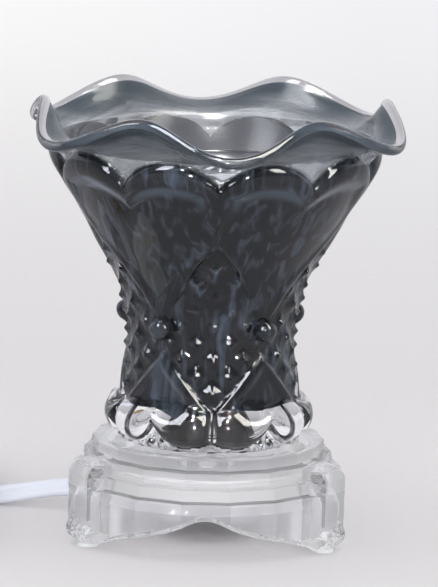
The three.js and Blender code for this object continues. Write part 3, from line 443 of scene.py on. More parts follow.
def smoke_lining(inside):
    """Smoky grey glass cased in the clear: dark in the hearts, marbled and see-through above."""
    material = new_material("Smoky glass lining inside" if inside else "Smoky glass lining")
    place = add_node(material, "TexCoord").outputs["Object"]
    zone, rise, thin = (
        add_node(material, "Attribute", attribute_name=name).outputs["Fac"]
        for name in ("collar", "rise", "thin"))
    if inside:
        # Painted light and shade: the inside is painted pale near the top, for the light that falls
        # in through the mouth, and dark lower down
        split = add_node(material, "SeparateXYZ", {"Vector": place})
        painted_light_share = remap(material, split.outputs["Z"], 108 * MM, 130 * MM)
        body = blend(material, painted_light_share, linear("16181b"), linear("74767c"))
    else:
        # Streaks drawn up and down by the gather of glass, 4 mm wide and 40 mm long
        long_way = add_node(material, "Mapping", {"Vector": place, "Scale": (250, 250, 24)})
        streak = noise(material, 1, 3, 0.8, long_way.outputs["Vector"])
        streaked = remap(material, streak, 0.5, 0.75)
        # Painted reflection: a pale bluish crescent under the roll of each heart, where the hollow
        # below the roll would mirror bright light
        pale = add_node(material, "Math", {0: streaked, 1: thin}, operation="MAXIMUM")
        body = blend(material, pale.outputs["Value"], colour("smoke"), colour("streak_and_painted_crescent"))
    # Marbling in the collar, drawn round it in flows about 4 mm high and 30 mm long
    flow = add_node(material, "Attribute", attribute_name="flow")
    marble = noise(material, 1, 4, 0.9, flow.outputs["Vector"])
    cloud = add_node(material, "Math", {0: marble, 1: rise}, operation="ADD")
    depth = remap(material, cloud.outputs["Value"], 0.42, 1.2)
    # On the inside, the collar's dark smoke is painted lighter, for the light that falls in through
    # the mouth
    haze_dark = linear("6f7981") if inside else colour("haze_dark")
    haze = blend(material, depth, colour("haze"), haze_dark)
    # Light passes through the collar's smoke, and the hearts hold it all back
    tint = blend(material, depth, linear("f4f5f6"), linear("848c94"))
    cover = remap(material, depth, to_low=0.14, to_high=0.5)
    seen = remap(material, zone, to_low=1.0, to_high=cover)
    through = add_node(material, "BsdfTransparent", {"Color": tint})
    smoke = add_node(material, "BsdfPrincipled", {
        "Base Color": blend(material, zone, body, haze), "Roughness": 0.45, "IOR": 1.5,
        "Specular IOR Level": 0.0})
    return surface_of(material, mix_shaders(material, seen, through, smoke))


def plain_finish(name, paint, roughness, grain_mm, bump_mm, metallic=0.0, ior=1.5):
    """A moulded, drawn or cast surface: its own colour, a little cloudier and rougher in places."""
    material = new_material(name)
    # Clouds 17 mm wide
    cloud = noise(material, 60, 3)
    shade = remap(material, cloud, 0.3, 0.7, 1 - CLOUD_TONE, 1.0)
    tone = add_node(material, "VectorMath", {0: paint[:3], "Scale": shade}, operation="SCALE")
    gloss = remap(
        material, cloud, 0.3, 0.7, roughness * (1 - CLOUD_GLOSS), roughness * (1 + CLOUD_GLOSS))
    grain = noise(material, 1 / (grain_mm * MM), 2)
    return surface_of(material, add_node(material, "BsdfPrincipled", {
        "Base Color": tone.outputs["Vector"], "Roughness": gloss, "Metallic": metallic,
        "IOR": ior, "Normal": bump(material, grain, 0.5, bump_mm)}))


# Camera, table and lights

CAMERA_TARGET = Vector((0.0027, 0, 0.0906))
LAMPS_TARGET = Vector((0, 0, 0.1))
TABLE_RADIUS = 8
TABLE_NEAR = 0.3
TABLE_FAR = 1.7
# Band along X over which the painted light on the backdrop fades out towards the right
TABLE_LEFT = -0.15
TABLE_RIGHT = 0.1
EVEN_LIGHT = 0.9
MIRRORS = "pieces that mirror the windows and bulbs"
FILL_LIT = "pieces that the front softbox lights"
SPARKLING = "pieces that the small lamps light"
# Name, azimuth, elevation, distance, power, width, height and colour of the lamps that light
# some of the pieces only
LAMPS = {
    FILL_LIT: [("softbox_front", 0, 19, 1.7, 17, 1.8, 0.9)],
    MIRRORS: [
        ("window_left", -42, 50, 1.5, 44, 0.5, 1.8, "f6f7ff"),
        ("window_right", 52, 50, 1.5, 44, 0.5, 1.8, "fffdf4"),
        ("bulb_high", 5, 66, 1.5, 60, 0.05), ("bulb_middle", -4, 50, 1.7, 60, 0.05),
        ("bulb_low", 2, 16, 1.7, 60, 0.05)],
    SPARKLING: [
        ("spark_left", -24, 42, 1.5, 2.5, 0.02), ("spark_right", 20, 34, 1.5, 2.5, 0.02)],
}


class BURNER_OT_stage(bpy.types.Operator):
    """Set the camera, the table, the world and the lamps."""
    bl_idname = "burner.stage"
    bl_label = "Stage"

    def execute(self, context):
        context.scene.view_settings.view_transform = "Standard"
        add_camera()
        add_table()
        add_world()
        add_lamps()
        return {"FINISHED"}


def add_camera():
    s = sizes()
    data = bpy.data.cameras.new("camera")
    data.sensor_width = 36
    data.sensor_fit = "AUTO"
    data.lens = s.camera_lens
    data.clip_end = 20
    camera = bpy.data.objects.new("camera", data)
    bpy.context.scene.collection.objects.link(camera)
    back = Vector((0, -math.cos(s.camera_height), math.sin(s.camera_height)))
    turn = back.to_track_quat("Z", "Y").to_matrix() @ Matrix.Rotation(s.camera_roll, 3, "Z")
    place = Matrix.Translation(CAMERA_TARGET + s.camera_distance * back)
    camera.matrix_world = place @ turn.to_4x4()
    bpy.context.scene.camera = camera


def add_table():
    """A round table far wider than the view. Away from the burner it has the backdrop's colour,
    with painted light making it lighter towards the left.
    """
    bpy.ops.mesh.primitive_circle_add(vertices=96, radius=TABLE_RADIUS, fill_type="NGON")
    table = bpy.context.object
    table.name = "table"
    material = new_material("Matt table and backdrop")
    place = add_node(material, "TexCoord").outputs["Object"]
    reach = add_node(material, "VectorMath", {0: place}, operation="LENGTH").outputs["Value"]
    away = remap(material, reach, TABLE_NEAR, TABLE_FAR, interpolation_type="SMOOTHSTEP")
    split = add_node(material, "SeparateXYZ", {"Vector": place})
    # Painted light: the backdrop grows lighter towards the left
    across = remap(material, split.outputs["X"], TABLE_LEFT, TABLE_RIGHT)
    far = blend(material, across, colour("backdrop_painted_light"), colour("backdrop"))
    tone = blend(material, away, colour("floor"), far)
    # In mirror images the table is darker, so that the dark glass stays dark
    path = add_node(material, "LightPath")
    tone = blend(material, path.outputs["Is Glossy Ray"], tone, linear("b6b5b8"))
    surface = add_node(material, "BsdfPrincipled", {
        "Base Color": tone, "Roughness": 0.9, "Specular IOR Level": 0.0})
    table.data.materials.append(surface_of(material, surface))


def add_world():
    """Pale even light. In reflections the room is bright behind, low in front, dark overhead."""
    world = bpy.data.worlds.new("studio")
    world.use_nodes = True
    world.node_tree.nodes.clear()
    bpy.context.scene.world = world
    place = add_node(world, "TexCoord")
    split = add_node(world, "SeparateXYZ", {"Vector": place.outputs["Generated"]})
    back = remap(
        world, split.outputs["Y"], -0.3, 0.3, 0.24, 0.95, interpolation_type="SMOOTHSTEP")
    overhead = remap(
        world, split.outputs["Z"], 0.6, 0.85, back, 0.1, interpolation_type="SMOOTHSTEP")
    path = add_node(world, "LightPath")
    mirrored = add_node(world, "Background", {"Color": linear("fafaff"), "Strength": overhead})
    even = add_node(world, "Background", {"Color": linear("fcfcff"), "Strength": EVEN_LIGHT})
    behind = add_node(world, "Background", {"Color": colour("backdrop"), "Strength": 1.0})
    inner = mix_shaders(world, path.outputs["Is Glossy Ray"], even, mirrored)
    mix = mix_shaders(world, path.outputs["Is Camera Ray"], inner, behind)
    add_node(world, "OutputWorld", {"Surface": mix.outputs["Shader"]})


def add_lamp(name, azimuth, elevation, distance, power, width, height=None, code="ffffff"):
    """An area lamp aimed at the burner. Its azimuth is measured from the front towards +X."""
    data = bpy.data.lights.new(name, "AREA")
    data.energy = power
    data.color = linear(code)[:3]
    data.shape = "RECTANGLE" if height else "DISK"
    data.size = width
    if height:
        data.size_y = height
    lamp = bpy.data.objects.new(name, data)
    bpy.context.scene.collection.objects.link(lamp)
    turn, rise = math.radians(azimuth), math.radians(elevation)
    towards = Vector((
        math.sin(turn) * math.cos(rise), -math.cos(turn) * math.cos(rise), math.sin(rise)))
    lamp.matrix_world = Matrix.LocRotScale(
        LAMPS_TARGET + distance * towards, towards.to_track_quat("Z", "Y"), None)
    lamp.visible_transmission = False
    return lamp


def add_lamps():
    """Soft lamps light the pieces. The others show only as reflections in the clear glass."""
    above = add_lamp("softbox_above", 0, 86, 1.6, 6.5, 2.0, 2.0)
    above.visible_glossy = False
    for group, lamps in LAMPS.items():
        lit = bpy.data.collections.new(group)
        for row in lamps:
            lamp = add_lamp(*row)
            lamp.light_linking.receiver_collection = lit
            lamp.visible_diffuse = group == FILL_LIT
            lamp.visible_glossy = group != FILL_LIT
    light(bpy.data.objects["table"], FILL_LIT)


# Cords

LEAD_STEPS = 60
COIL_STEPS = 300
BRIDGE_STEPS = 40
PLUG_STEPS = 70
ROUTE_GAP = 0.2
# Turns over which the coil climbs to its upper layer, and degrees over which it rises at the tie
COIL_CLIMB = 0.5
TIE_SPREAD = 22
# Arc on each side of a core's outer edge, up to the groove between the two
CORE_ARC = 138
CORE_POINTS = 16
# The lead's lean and its band along X. The coil and the bridge are behind and above the lead
LEAD_LEAN = 38
LEAN_BAND = (-86, -66, -46, -38)
LEAD_BACK = 40
LEAD_HIGHEST = 10


def coil_point(turns):
    """Centre of the coiled cord after some turns, wound clockwise from the coil's front."""
    spiral = min(turns, COIL_TURNS - turns)
    climb = min(max((turns - COIL_TURNS / 2) / COIL_CLIMB + 0.5, 0), 1)
    from_tie = abs(turns - math.floor(turns) - TIE_TURNS) * 360
    angle = -math.pi / 2 - 2 * math.pi * turns
    radius = COIL_RADIUS - COIL_TURN_PITCH * spiral
    height = CORD_HALF_HEIGHT + COIL_LAYER_PITCH * smooth_step(climb, 0, 1) \
        + TIE_RISE * bell(from_tie, TIE_SPREAD)
    return (
        (COIL_CENTRE[0] + radius * math.cos(angle)) * MM,
        (COIL_CENTRE[1] + radius * math.sin(angle)) * MM, height * MM)


def main_route():
    """Centre line from the strain relief through the coil to the dimmer."""
    lead = smooth_route(LEAD_ROUTE, LEAD_STEPS)
    coil = [coil_point(COIL_TURNS * i / COIL_STEPS) for i in range(COIL_STEPS + 1)]
    bridge = smooth_route(BRIDGE_ROUTE, BRIDGE_STEPS)
    return np.array([*lead, *coil, *bridge])


def twin_section(width, thickness):
    """Outline of a flat twin cord: two round cores and a web, with a groove on each side."""
    core = thickness / 2
    reach = width / 2 - core
    turns = np.radians(np.linspace(CORE_ARC, -CORE_ARC, CORE_POINTS + 1))
    right = [(reach + core * math.cos(turn), core * math.sin(turn)) for turn in turns]
    return [*right, *((-x, -y) for x, y in right)]


def flat_sweep(name, route, twist=None):
    """A flat cord on edge along a route, turned about its own line by a twist in degrees."""
    s = sizes()
    outline = twin_section(s.cord_width, s.cord_thickness)
    route = np.asarray(route)
    gaps = np.linalg.norm(np.diff(route, axis=0), axis=1)
    route = route[np.concatenate([[True], gaps > ROUTE_GAP * MM])]
    along = np.gradient(route, axis=0)
    rings = []
    for i, at in enumerate(route):
        ahead = Vector(along[i]).normalized()
        side = ahead.cross(Vector((0, 0, 1))).normalized()
        up = side.cross(ahead)
        turn = math.radians(twist(Vector(at))) if twist else 0
        across = math.cos(turn) * up + math.sin(turn) * side
        out = math.cos(turn) * side - math.sin(turn) * up
        rings.append([Vector(at) + x * across + y * out for x, y in outline])
    return loft(name, rings), route


def lead_twist(at):
    """The lead leans over where it leaves the base, and stands on edge again at the coil."""
    x, y, z = at / MM
    on_lead = y < LEAD_BACK and z < LEAD_HIGHEST
    return LEAD_LEAN * float(band(x, *LEAN_BAND)) if on_lead else 0


class BURNER_OT_cords(bpy.types.Operator):
    """Add the flat twin cord, from the strain relief to the dimmer and from there to the plug."""
    bl_idname = "burner.cords"
    bl_label = "Cords"

    def execute(self, context):
        vinyl = plain_finish("Extruded white vinyl", colour("cord"), 0.38, 0.9, 0.02)
        cord, route = flat_sweep("mains_cord", main_route(), lead_twist)
        dress(cord, vinyl, "base", ("cord_lead", "cord_coil", "cord_bridge"))
        tail, tail_route = flat_sweep("plug_cord", smooth_route(PLUG_ROUTE, PLUG_STEPS))
        dress(tail, vinyl, "base", ("plug_lead",))
        for piece in (cord, tail):
            smooth(piece, 50)
        return {"FINISHED"}


# Shade

# Above 1, the sides of the upper hearts are a little hollow
HEART_SIDE_BEND = 1.05
# The rolls along the hearts' edges, as the crest's distance from the edge and its height, and
# what both gain between two heights. A roll ends at the panel, some crests in from the edge
HEART_ROLL = (3.2, 2.0)
HEART_ROLL_GAIN = (3.2, 1.9)
HEART_ROLL_GROWS = (84, 103)
HEART_PANEL = 1.4
LOWER_ROLL = (3.2, 2.3)
LOWER_PANEL = 1.0
ROLL_END = 2.4
# Thick rolls at the foot: their raised corners, rounded ends and fullness
LOBE_CORNER_ANGLE = 20
LOBE_CORNER_SPREAD = 8
LOBE_END_OVERLAP = 0.5
LOBE_END_ROUND = 7
LOBE_FULLNESS = 0.6
# The diamond field's points are square with rounded ridges and a small nib on top
POINT_SQUARENESS = 10
POINT_RIDGE_ROUND = 0.006
POINT_LIFT = 0.02
POINT_TIP = 0.42
POINT_TIP_RADIUS = 1.25
FIELD_EDGE = (-0.3, 1.2)
# Where the collar's curve bends, as shares of the way out and up from the body to the lip
BEND_OUT = 0.25
BEND_UP = 0.55
# The lip ends in a bead above a shallow groove
BEAD_HEIGHT = 0.3
BEAD_SPREAD = 0.06
LIP_GROOVE_DEPTH = 0.22
LIP_GROOVE_PLACE = 0.86
LIP_GROOVE_SPREAD = 0.035

CASING_COLUMNS = 384
CASING_ROWS = 176
COLLAR_ROWS = 14
LIP_ROWS = 6
INSIDE_ROWS = 28
# Rounding of the casing's foot
FOOT_POLISH = 1

LINING_COLUMNS = 360
LINING_ROWS = 130
LINING_COLLAR_ROWS = 13
LINING_INSIDE_TOP_ROWS = 36
LINING_INSIDE_ROWS = 20
# Clear glass inside the lining. In the collar, the lining's inner face is this far in from the
# wall's middle, and the outer face this far less the lining's thickness
LINING_GAP = 0.35
COLLAR_LINING_INNER = 1.4
COLLAR_LINING_OUTER = 1.15
# Share of the collar that the lining fills, and of the relief that it follows outside the hearts
COLLAR_LINED = 0.93
LINING_FOLLOWS = 0.5
FOLLOWS_EDGE = (-1, 1.5)
# The lining fills the hearts from their edge in, and the body from above the foot's rolls
FILLED_EDGE = (0, 1.2)
FILLED_RISE = 1.5
# Waves of the lining's lower end: how many go round, and their height
END_WAVES = ((3, 1.2), (7, 0.8))
# The hearts' smoke ends softly at their outline. Below a height, all of the lining is dark
SMOKE_EDGE = 0.4
ALL_DARK_BELOW = 98
# The lining sinks back from the casing between the hearts at these heights
LINING_SINKS = (BODY_HEIGHT - 12, BODY_HEIGHT - 8)
# Painted reflection, a pale crescent in a heart: strength, distances from the edge, and heights
PAINTED_CRESCENT_STRENGTH = 0.75
PAINTED_CRESCENT_BAND = (8, 9.5, 10, 14)
PAINTED_CRESCENT_HEIGHTS = (91, 99)
# Marbling's coordinates: radius, rise along the collar, and the wave that it rides on
FLOW_RADIUS = 2.4
FLOW_RISE = 4.5
FLOW_WAVE = 0.9


def body_radius(z):
    return curve_through(BODY_OUTLINE, z)


def inner_radius(z):
    low = WALL_AT_FOOT + (WALL_AT_WAIST - WALL_AT_FOOT) * smooth_step(z, 0, WAIST)
    high = WALL_AT_WAIST + (WALL_AT_COLLAR - WALL_AT_WAIST) * smooth_step(z, WAIST, BODY_HEIGHT)
    return body_radius(z) - np.where(z < WAIST, low, high)


def arc_length(u, z):
    """Millimetres along the plain body at height z for an angle u."""
    return u * math.radians(1) * body_radius(z)


def lobe_drop(u):
    across = (np.abs(u) - SECTOR / 4) / (SECTOR / 4)
    return (1 - np.sqrt(1 - (LOBE_ROUND * across) ** 2)) / (1 - math.sqrt(1 - LOBE_ROUND ** 2))


def lobe_bottom(u):
    """Lower edge of the lower hearts, from their clefts round the lobes to their notches."""
    cleft = np.where(np.abs(u) < SECTOR / 4, LOWER_CLEFT, LOWER_NOTCH)
    return LOBE_BOTTOM + (cleft - LOBE_BOTTOM) * lobe_drop(u)


def inside_upper_heart(u, z):
    """Millimetres from a point in to the nearest edge of the upper heart, below 0 outside it."""
    opened = np.clip((z - HEART_TIP) / (HEART_SHOULDER - HEART_TIP), 0, 1)
    merged = smooth_step(z, HEART_SHOULDER, HEART_SHOULDER + HEART_MERGE_HEIGHT)
    side = arc_length(SECTOR / 2 * opened ** HEART_SIDE_BEND - np.abs(u), z)
    top = BODY_HEIGHT - (BODY_HEIGHT - HEART_CLEFT) * lobe_drop(u) - z
    return np.minimum(side + HEART_MERGE_WIDTH * merged, top)


def inside_lower_heart(u, z):
    """The same for the lower heart."""
    opened = np.clip((LOWER_TIP - z) / (LOWER_TIP - LOWER_SHOULDER), 0, 1)
    side = arc_length(SECTOR / 2 * opened - np.abs(u), z)
    return np.minimum(side, z - lobe_bottom(u))


def curled_lobe(u, z):
    """Height of the thick roll that curls along the bottom of a lower heart."""
    bottom = lobe_bottom(u)
    top = LOBE_TOP + LOBE_CORNER * bell(np.abs(u) - LOBE_CORNER_ANGLE, LOBE_CORNER_SPREAD)
    share = np.clip((z - bottom) / (top - bottom), 0, 1)
    end = (arc_length(SECTOR / 2 - np.abs(u), z) + LOBE_END_OVERLAP) / LOBE_END_ROUND
    return LOBE_RELIEF * (4 * share * (1 - share)) ** LOBE_FULLNESS * quarter_round(end)


def roll(inside, crest, height, panel):
    """Height of a rounded roll along an edge. It crests and then sinks to a flat panel inside."""
    sunk = smooth_step(inside, crest, crest * ROLL_END)
    return height * quarter_round(inside / crest) + (panel - height) * sunk


def diamond_points(u, z):
    """Pyramids with rounded tips in crossing rows: 1 at a tip, 0 in the valleys."""
    across = (SECTOR / 2 - np.abs(u)) / POINT_PITCH_ANGLE
    up = (z - POINT_ROW) / POINT_PITCH_HEIGHT
    off = lambda value: np.abs(value - np.floor(value) - 0.5) ** POINT_SQUARENESS
    away = (off(across + up) + off(across - up)) ** (1 / POINT_SQUARENESS)
    tip = POINT_TIP * bell(away * POINT_PITCH_HEIGHT, POINT_TIP_RADIUS)
    return 1 - 2 * (np.sqrt(away ** 2 + POINT_RIDGE_ROUND) - POINT_LIFT) + tip


def relief(u, z):
    """Height of the pressed pattern above the plain body."""
    upper, lower = inside_upper_heart(u, z), inside_lower_heart(u, z)
    field = smooth_step(-np.maximum(upper, lower), *FIELD_EDGE)
    on_pearl = PEARL_RADIUS ** 2 - arc_length(u, z) ** 2 - (z - PEARL_HEIGHT) ** 2
    pearl = np.where(on_pearl > 0, PEARL_SEAT + np.sqrt(np.maximum(on_pearl, 0)), 0)
    near_top = smooth_step(z, *HEART_ROLL_GROWS)
    crest, height = (a + gain * near_top for a, gain in zip(HEART_ROLL, HEART_ROLL_GAIN))
    heart = roll(upper, crest, height, HEART_PANEL)
    foot = roll(lower, *LOWER_ROLL, LOWER_PANEL)
    points = POINT_RELIEF * diamond_points(u, z) * field
    return np.maximum.reduce([
        heart, foot, curled_lobe(u, z), points, pearl, np.full_like(heart, GROOVE_FLOOR)])


def collar_curve(degrees, t):
    """Middle of the collar's wall and its direction, from the body at 0 to the lip at 1."""
    wave = np.cos(np.radians(RUFFLES * (degrees - LIP_PEAK)))
    lip = (LIP_RADIUS - LIP_WAVE_RADIUS * wave - LIP_THICKNESS / 2,
           LIP_HEIGHT + LIP_WAVE_HEIGHT * wave - LIP_THICKNESS / 2)
    root = (float(body_radius(BODY_HEIGHT)) - WALL_AT_COLLAR / 2, BODY_HEIGHT)
    bend = (root[0] + BEND_OUT * (lip[0] - root[0]), root[1] + BEND_UP * (lip[1] - root[1]))
    at, along = [], []
    for a, b, c in zip(root, bend, lip):
        at.append((1 - t) ** 2 * a + 2 * t * (1 - t) * b + t * t * c)
        along.append(2 * (1 - t) * (b - a) + 2 * t * (c - b))
    size = np.hypot(*along)
    return at, (along[0] / size, along[1] / size)


def collar_ring(degrees, t, turn, half=None):
    """A ring on the collar's wall, at a turn round its middle from the outside over the lip."""
    at, along = collar_curve(degrees, t)
    if half is None:
        half = (WALL_AT_COLLAR + (LIP_THICKNESS - WALL_AT_COLLAR) * t) / 2
        half += BEAD_HEIGHT * bell(t - 1, BEAD_SPREAD)
        half -= LIP_GROOVE_DEPTH * bell(t - LIP_GROOVE_PLACE, LIP_GROOVE_SPREAD)
    across, ahead = half * math.cos(turn), half * math.sin(turn)
    r = at[0] + along[1] * across + along[0] * ahead
    z = at[1] - along[0] * across + along[1] * ahead
    return around(r, degrees, z + SHADE_FOOT)


def shade_angles(columns):
    """Angles of a ring's points, and how far each is from the middle of its heart."""
    turned = 360 * np.arange(columns) / columns
    return FIRST_HEART + turned, (turned + SECTOR / 2) % SECTOR - SECTOR / 2


def make_casing():
    degrees, u = shade_angles(CASING_COLUMNS)
    rings = []
    for z in np.linspace(0, BODY_HEIGHT, CASING_ROWS):
        polish = FOOT_POLISH * (1 - quarter_round(z / FOOT_POLISH))
        r = body_radius(z) + relief(u, z) - polish
        rings.append(around(r, degrees, z + SHADE_FOOT))
    for t in np.linspace(0, 1, COLLAR_ROWS + 1)[1:]:
        rings.append(collar_ring(degrees, t, 0))
    for turn in np.linspace(0, math.pi, LIP_ROWS + 2)[1:-1]:
        rings.append(collar_ring(degrees, 1, turn))
    for t in np.linspace(1, 0, COLLAR_ROWS + 1)[:-1]:
        rings.append(collar_ring(degrees, t, math.pi))
    for z in np.linspace(BODY_HEIGHT, 0, INSIDE_ROWS):
        rings.append(around(inner_radius(z), degrees, z + SHADE_FOOT))
    return loft("shade_casing", rings, closed=True)


def is_dull(face):
    """Whether a face of the casing looks into the shade or belongs to the collar, below the lip."""
    row = face.index // CASING_COLUMNS
    lip_from = CASING_ROWS + COLLAR_ROWS - 1
    on_lip = lip_from <= row <= lip_from + LIP_ROWS + 1
    below_lining = face.center.z < (SHADE_FOOT + LOBE_TOP) * MM
    return row >= CASING_ROWS - 1 and not on_lip and not below_lining


def make_lining():
    """The dark lining, a closed shell inside the casing's wall that fills the upper hearts."""
    s = sizes()
    degrees, u = shade_angles(LINING_COLUMNS)
    end = s.lining_end / MM + sum(
        height * np.sin(np.radians(count * degrees)) for count, height in END_WAVES)
    rings, values = [], []

    def keep(ring, collar, rise=0, thin=0):
        rings.append(ring)
        values.append([np.broadcast_to(v, LINING_COLUMNS) for v in (collar, rise, thin)])

    def clear_zone(inside, z):
        hidden = np.maximum(inside, (ALL_DARK_BELOW - z) / 2)
        return 1 - smooth_step(hidden, -SMOKE_EDGE, SMOKE_EDGE)

    for share in np.linspace(0, 1, LINING_ROWS):
        z = end + (BODY_HEIGHT - end) * share
        plain = inner_radius(z) + LINING_GAP + s.lining_thickness / MM
        inside = inside_upper_heart(u, z)
        off_pearl = np.hypot(arc_length(u, z), z - PEARL_HEIGHT)
        follows = np.maximum(inside, PEARL_RADIUS - off_pearl)
        raised = LINING_FOLLOWS + (1 - LINING_FOLLOWS) * smooth_step(follows, *FOLLOWS_EDGE)
        full = body_radius(z) + raised * relief(u, z) - s.lining_depth / MM
        filled = smooth_step(np.maximum(inside, (z - LOBE_TOP) / FILLED_RISE), *FILLED_EDGE)
        filled *= 1 - (inside < 0.2) * smooth_step(z, *LINING_SINKS)
        r = np.maximum(plain, plain + (full - plain) * filled)
        # Painted reflection in a crescent under the heart's roll
        crescent = PAINTED_CRESCENT_STRENGTH * band(inside, *PAINTED_CRESCENT_BAND) * smooth_step(z, *PAINTED_CRESCENT_HEIGHTS)
        keep(around(r, degrees, z + SHADE_FOOT), clear_zone(inside, z), 0, crescent)
    up_collar = np.linspace(0, COLLAR_LINED, LINING_COLLAR_ROWS + 1)
    outer = COLLAR_LINING_OUTER - s.lining_thickness / MM
    for t in up_collar[1:]:
        keep(collar_ring(degrees, t, math.pi, outer), 1, t)
    first_inner = len(rings) * LINING_COLUMNS
    for t in up_collar[:0:-1]:
        keep(collar_ring(degrees, t, math.pi, COLLAR_LINING_INNER), 1, t)
    shares = np.append(
        np.linspace(1, 0.87, LINING_INSIDE_TOP_ROWS), np.linspace(0.85, 0, LINING_INSIDE_ROWS))
    for share in shares:
        z = end + (BODY_HEIGHT - end) * share
        keep(around(inner_radius(z) + LINING_GAP, degrees, z + SHADE_FOOT),
             clear_zone(inside_upper_heart(u, z), z))
    lining = loft("shade_lining", rings, closed=True)
    mesh = lining.data
    values = np.swapaxes(values, 0, 1).reshape(3, -1).astype(np.float32)
    for name, value in zip(("collar", "rise", "thin"), values):
        mesh.attributes.new(name, "FLOAT", "POINT").data.foreach_set("value", value)
    # Flow coordinates for the marbling: round the collar, and up it
    turn = np.radians(np.tile(degrees, len(rings)))
    flow = np.stack([
        FLOW_RADIUS * np.sin(turn), FLOW_RADIUS * np.cos(turn),
        FLOW_RISE * values[1] + FLOW_WAVE * np.sin(3 * turn)], axis=-1)
    mesh.attributes.new("flow", "FLOAT_VECTOR", "POINT").data.foreach_set(
        "vector", flow.ravel().astype(np.float32))
    # The inner faces take the copy with painted light
    for face in mesh.polygons:
        face.material_index = int(min(face.vertices) >= first_inner)
    return lining


class BURNER_OT_shade(bpy.types.Operator):
    """Add the shade: clear pressed casing outside a dark lining."""
    bl_idname = "burner.shade"
    bl_label = "Glass shade"

    def execute(self, context):
        casing = make_casing()
        dress(casing, pressed_glass(), "shade", ("glass_shade",))
        casing.data.materials.append(thin_glass())
        for face in casing.data.polygons:
            face.material_index = int(is_dull(face))
        smooth(casing, 35)
        light(casing, MIRRORS)
        lining = make_lining()
        dress(lining, smoke_lining(False), "shade", ("glass_shade",))
        lining.data.materials.append(smoke_lining(True))
        smooth(lining, 60)
        return {"FINISHED"}


# Dish

DISH_COLUMNS = 144
# Poles are closed by a face this small
POLE_RADIUS = 0.01
DISH_INNER_RINGS = (14, 24)
DISH_CURVE = (0, 0.02, 0.06, 0.13, 0.24, 0.38, 0.55, 0.75)
DISH_WAIST = 96
DISH_BEAD = 1.4
DISH_BEAD_ROWS = 6


class BURNER_OT_dish(bpy.types.Operator):
    """Add the clear dish that holds the oil in the shade's throat."""
    bl_idname = "burner.dish"
    bl_label = "Oil dish"

    def execute(self, context):
        flank = lambda z: float(inner_radius(z)) - DISH_GAP
        outside = [(r, DISH_FLOOR) for r in (POLE_RADIUS, *DISH_INNER_RINGS)]
        for t in DISH_CURVE:
            r = DISH_FLOOR_RADIUS + (flank(DISH_SEAT) - DISH_FLOOR_RADIUS) * math.sqrt(t)
            outside.append((r, DISH_FLOOR + t * (DISH_SEAT - DISH_FLOOR)))
        inside = [
            (max(r - DISH_WALL, POLE_RADIUS), z + DISH_WALL) for r, z in reversed(outside)]
        top = DISH_RIM - 0.05
        rim = flank(top - 1) - 0.15
        middle_r, middle_z = rim - DISH_BEAD, top - DISH_BEAD
        edge = [
            (flank(DISH_SEAT) - 0.05, DISH_SEAT), (flank(DISH_WAIST) - 0.1, DISH_WAIST),
            (rim, middle_z)]
        for turn in np.linspace(0, math.pi, DISH_BEAD_ROWS + 1):
            edge.append((
                middle_r + DISH_BEAD * math.cos(turn), middle_z + DISH_BEAD * math.sin(turn)))
        edge.append((middle_r - DISH_BEAD - 0.1, DISH_WAIST))
        degrees = 360 * np.arange(DISH_COLUMNS) / DISH_COLUMNS
        rings = [around(r, degrees, z + SHADE_FOOT) for r, z in (*outside, *edge, *inside)]
        dish = loft("clear_oil_dish", rings)
        dress(dish, pressed_glass(), "dish", ("oil_dish",))
        smooth(dish, 50)
        return {"FINISHED"}


# Base

BASE_COLUMNS = 432
FACET = 360 / FACETS
FACET_HOLLOW = 0.008
# Each step's radius, its top, and the rounding of its edge
STEPS = (
    (SKIRT_RADIUS, SKIRT_TOP, 0.7), (TIER_1_RADIUS, TIER_1_TOP, 0.6),
    (TIER_2_RADIUS, TIER_2_TOP, 0.6), (TIER_3_RADIUS, BASE_TOP, 0.6),
)
EDGE_ROUND = 1.1
EDGE_ROWS = 4
SKIRT_ROWS = 17
FLANK_ROWS = 6
# The arch is a wide bow with a pointed top in its middle
BOW_HEIGHT = 10.2
BOW_HALF_ANGLE = 57
ARCH_POINT = 5.4
ARCH_POINT_SPREAD = 13
# A pillar stands in front of the skirt. Its sides are soft, its crown and its head rounded
PILLAR_DEPTH = 4.2
PILLAR_SOFT = 3.0
PILLAR_CROWN = 1.3
PILLAR_HEAD = 5.0
# A pillar's foot swells, is drawn in at the table, and is cut into small diamonds
FOOT_SWELL = 0.6
FOOT_SWELL_ENDS = (5, 11)
FOOT_DRAWN_IN = 2.2
FOOT_DRAWN_IN_ENDS = (FOOT_BOTTOM, 5)
FOOT_CUT_ENDS = (9, 13)
FOOT_CUT_ANGLE = 2.4
FOOT_CUT_HEIGHT = 3.1
# Hollow side of the skirt
HOLLOW_RADIUS = SKIRT_RADIUS - SKIRT_WALL
HOLLOW_UPRIGHT_BELOW = 17
PILLAR_BACK = 37.5
PILLAR_BACK_TOP = 22
PILLAR_BACK_SLOPE = 1.1
# Heights where the finish of the hollow side changes from satin to ground and to frosted
FROST_FROM = 20.5
GROUND_TO = 27

# Painted light and shade in the glass's tint: share of the light that the facets seem to pass up to
# each height, from an arch's middle facet to a pillar's, and that the ledges seem to pass. Two
# ledges are painted dark, to show as thin arcs from the front
PAINTED_FACET_LIGHT = (
    (SKIRT_TOP, (0.72, 0.96, 1.0, 1.0)), (TIER_1_TOP, (1.0, 0.94, 0.8, 0.95)),
    (TIER_2_TOP, (0.9, 1.0, 0.8, 0.95)), (BASE_TOP, (0.76, 0.92, 0.82, 1.0)),
)
PAINTED_LEDGE_SHADE = {SKIRT_TOP: 0.3, TIER_1_TOP: 0.8, TIER_2_TOP: 0.2}
LEDGE_HALF_ANGLE = 56


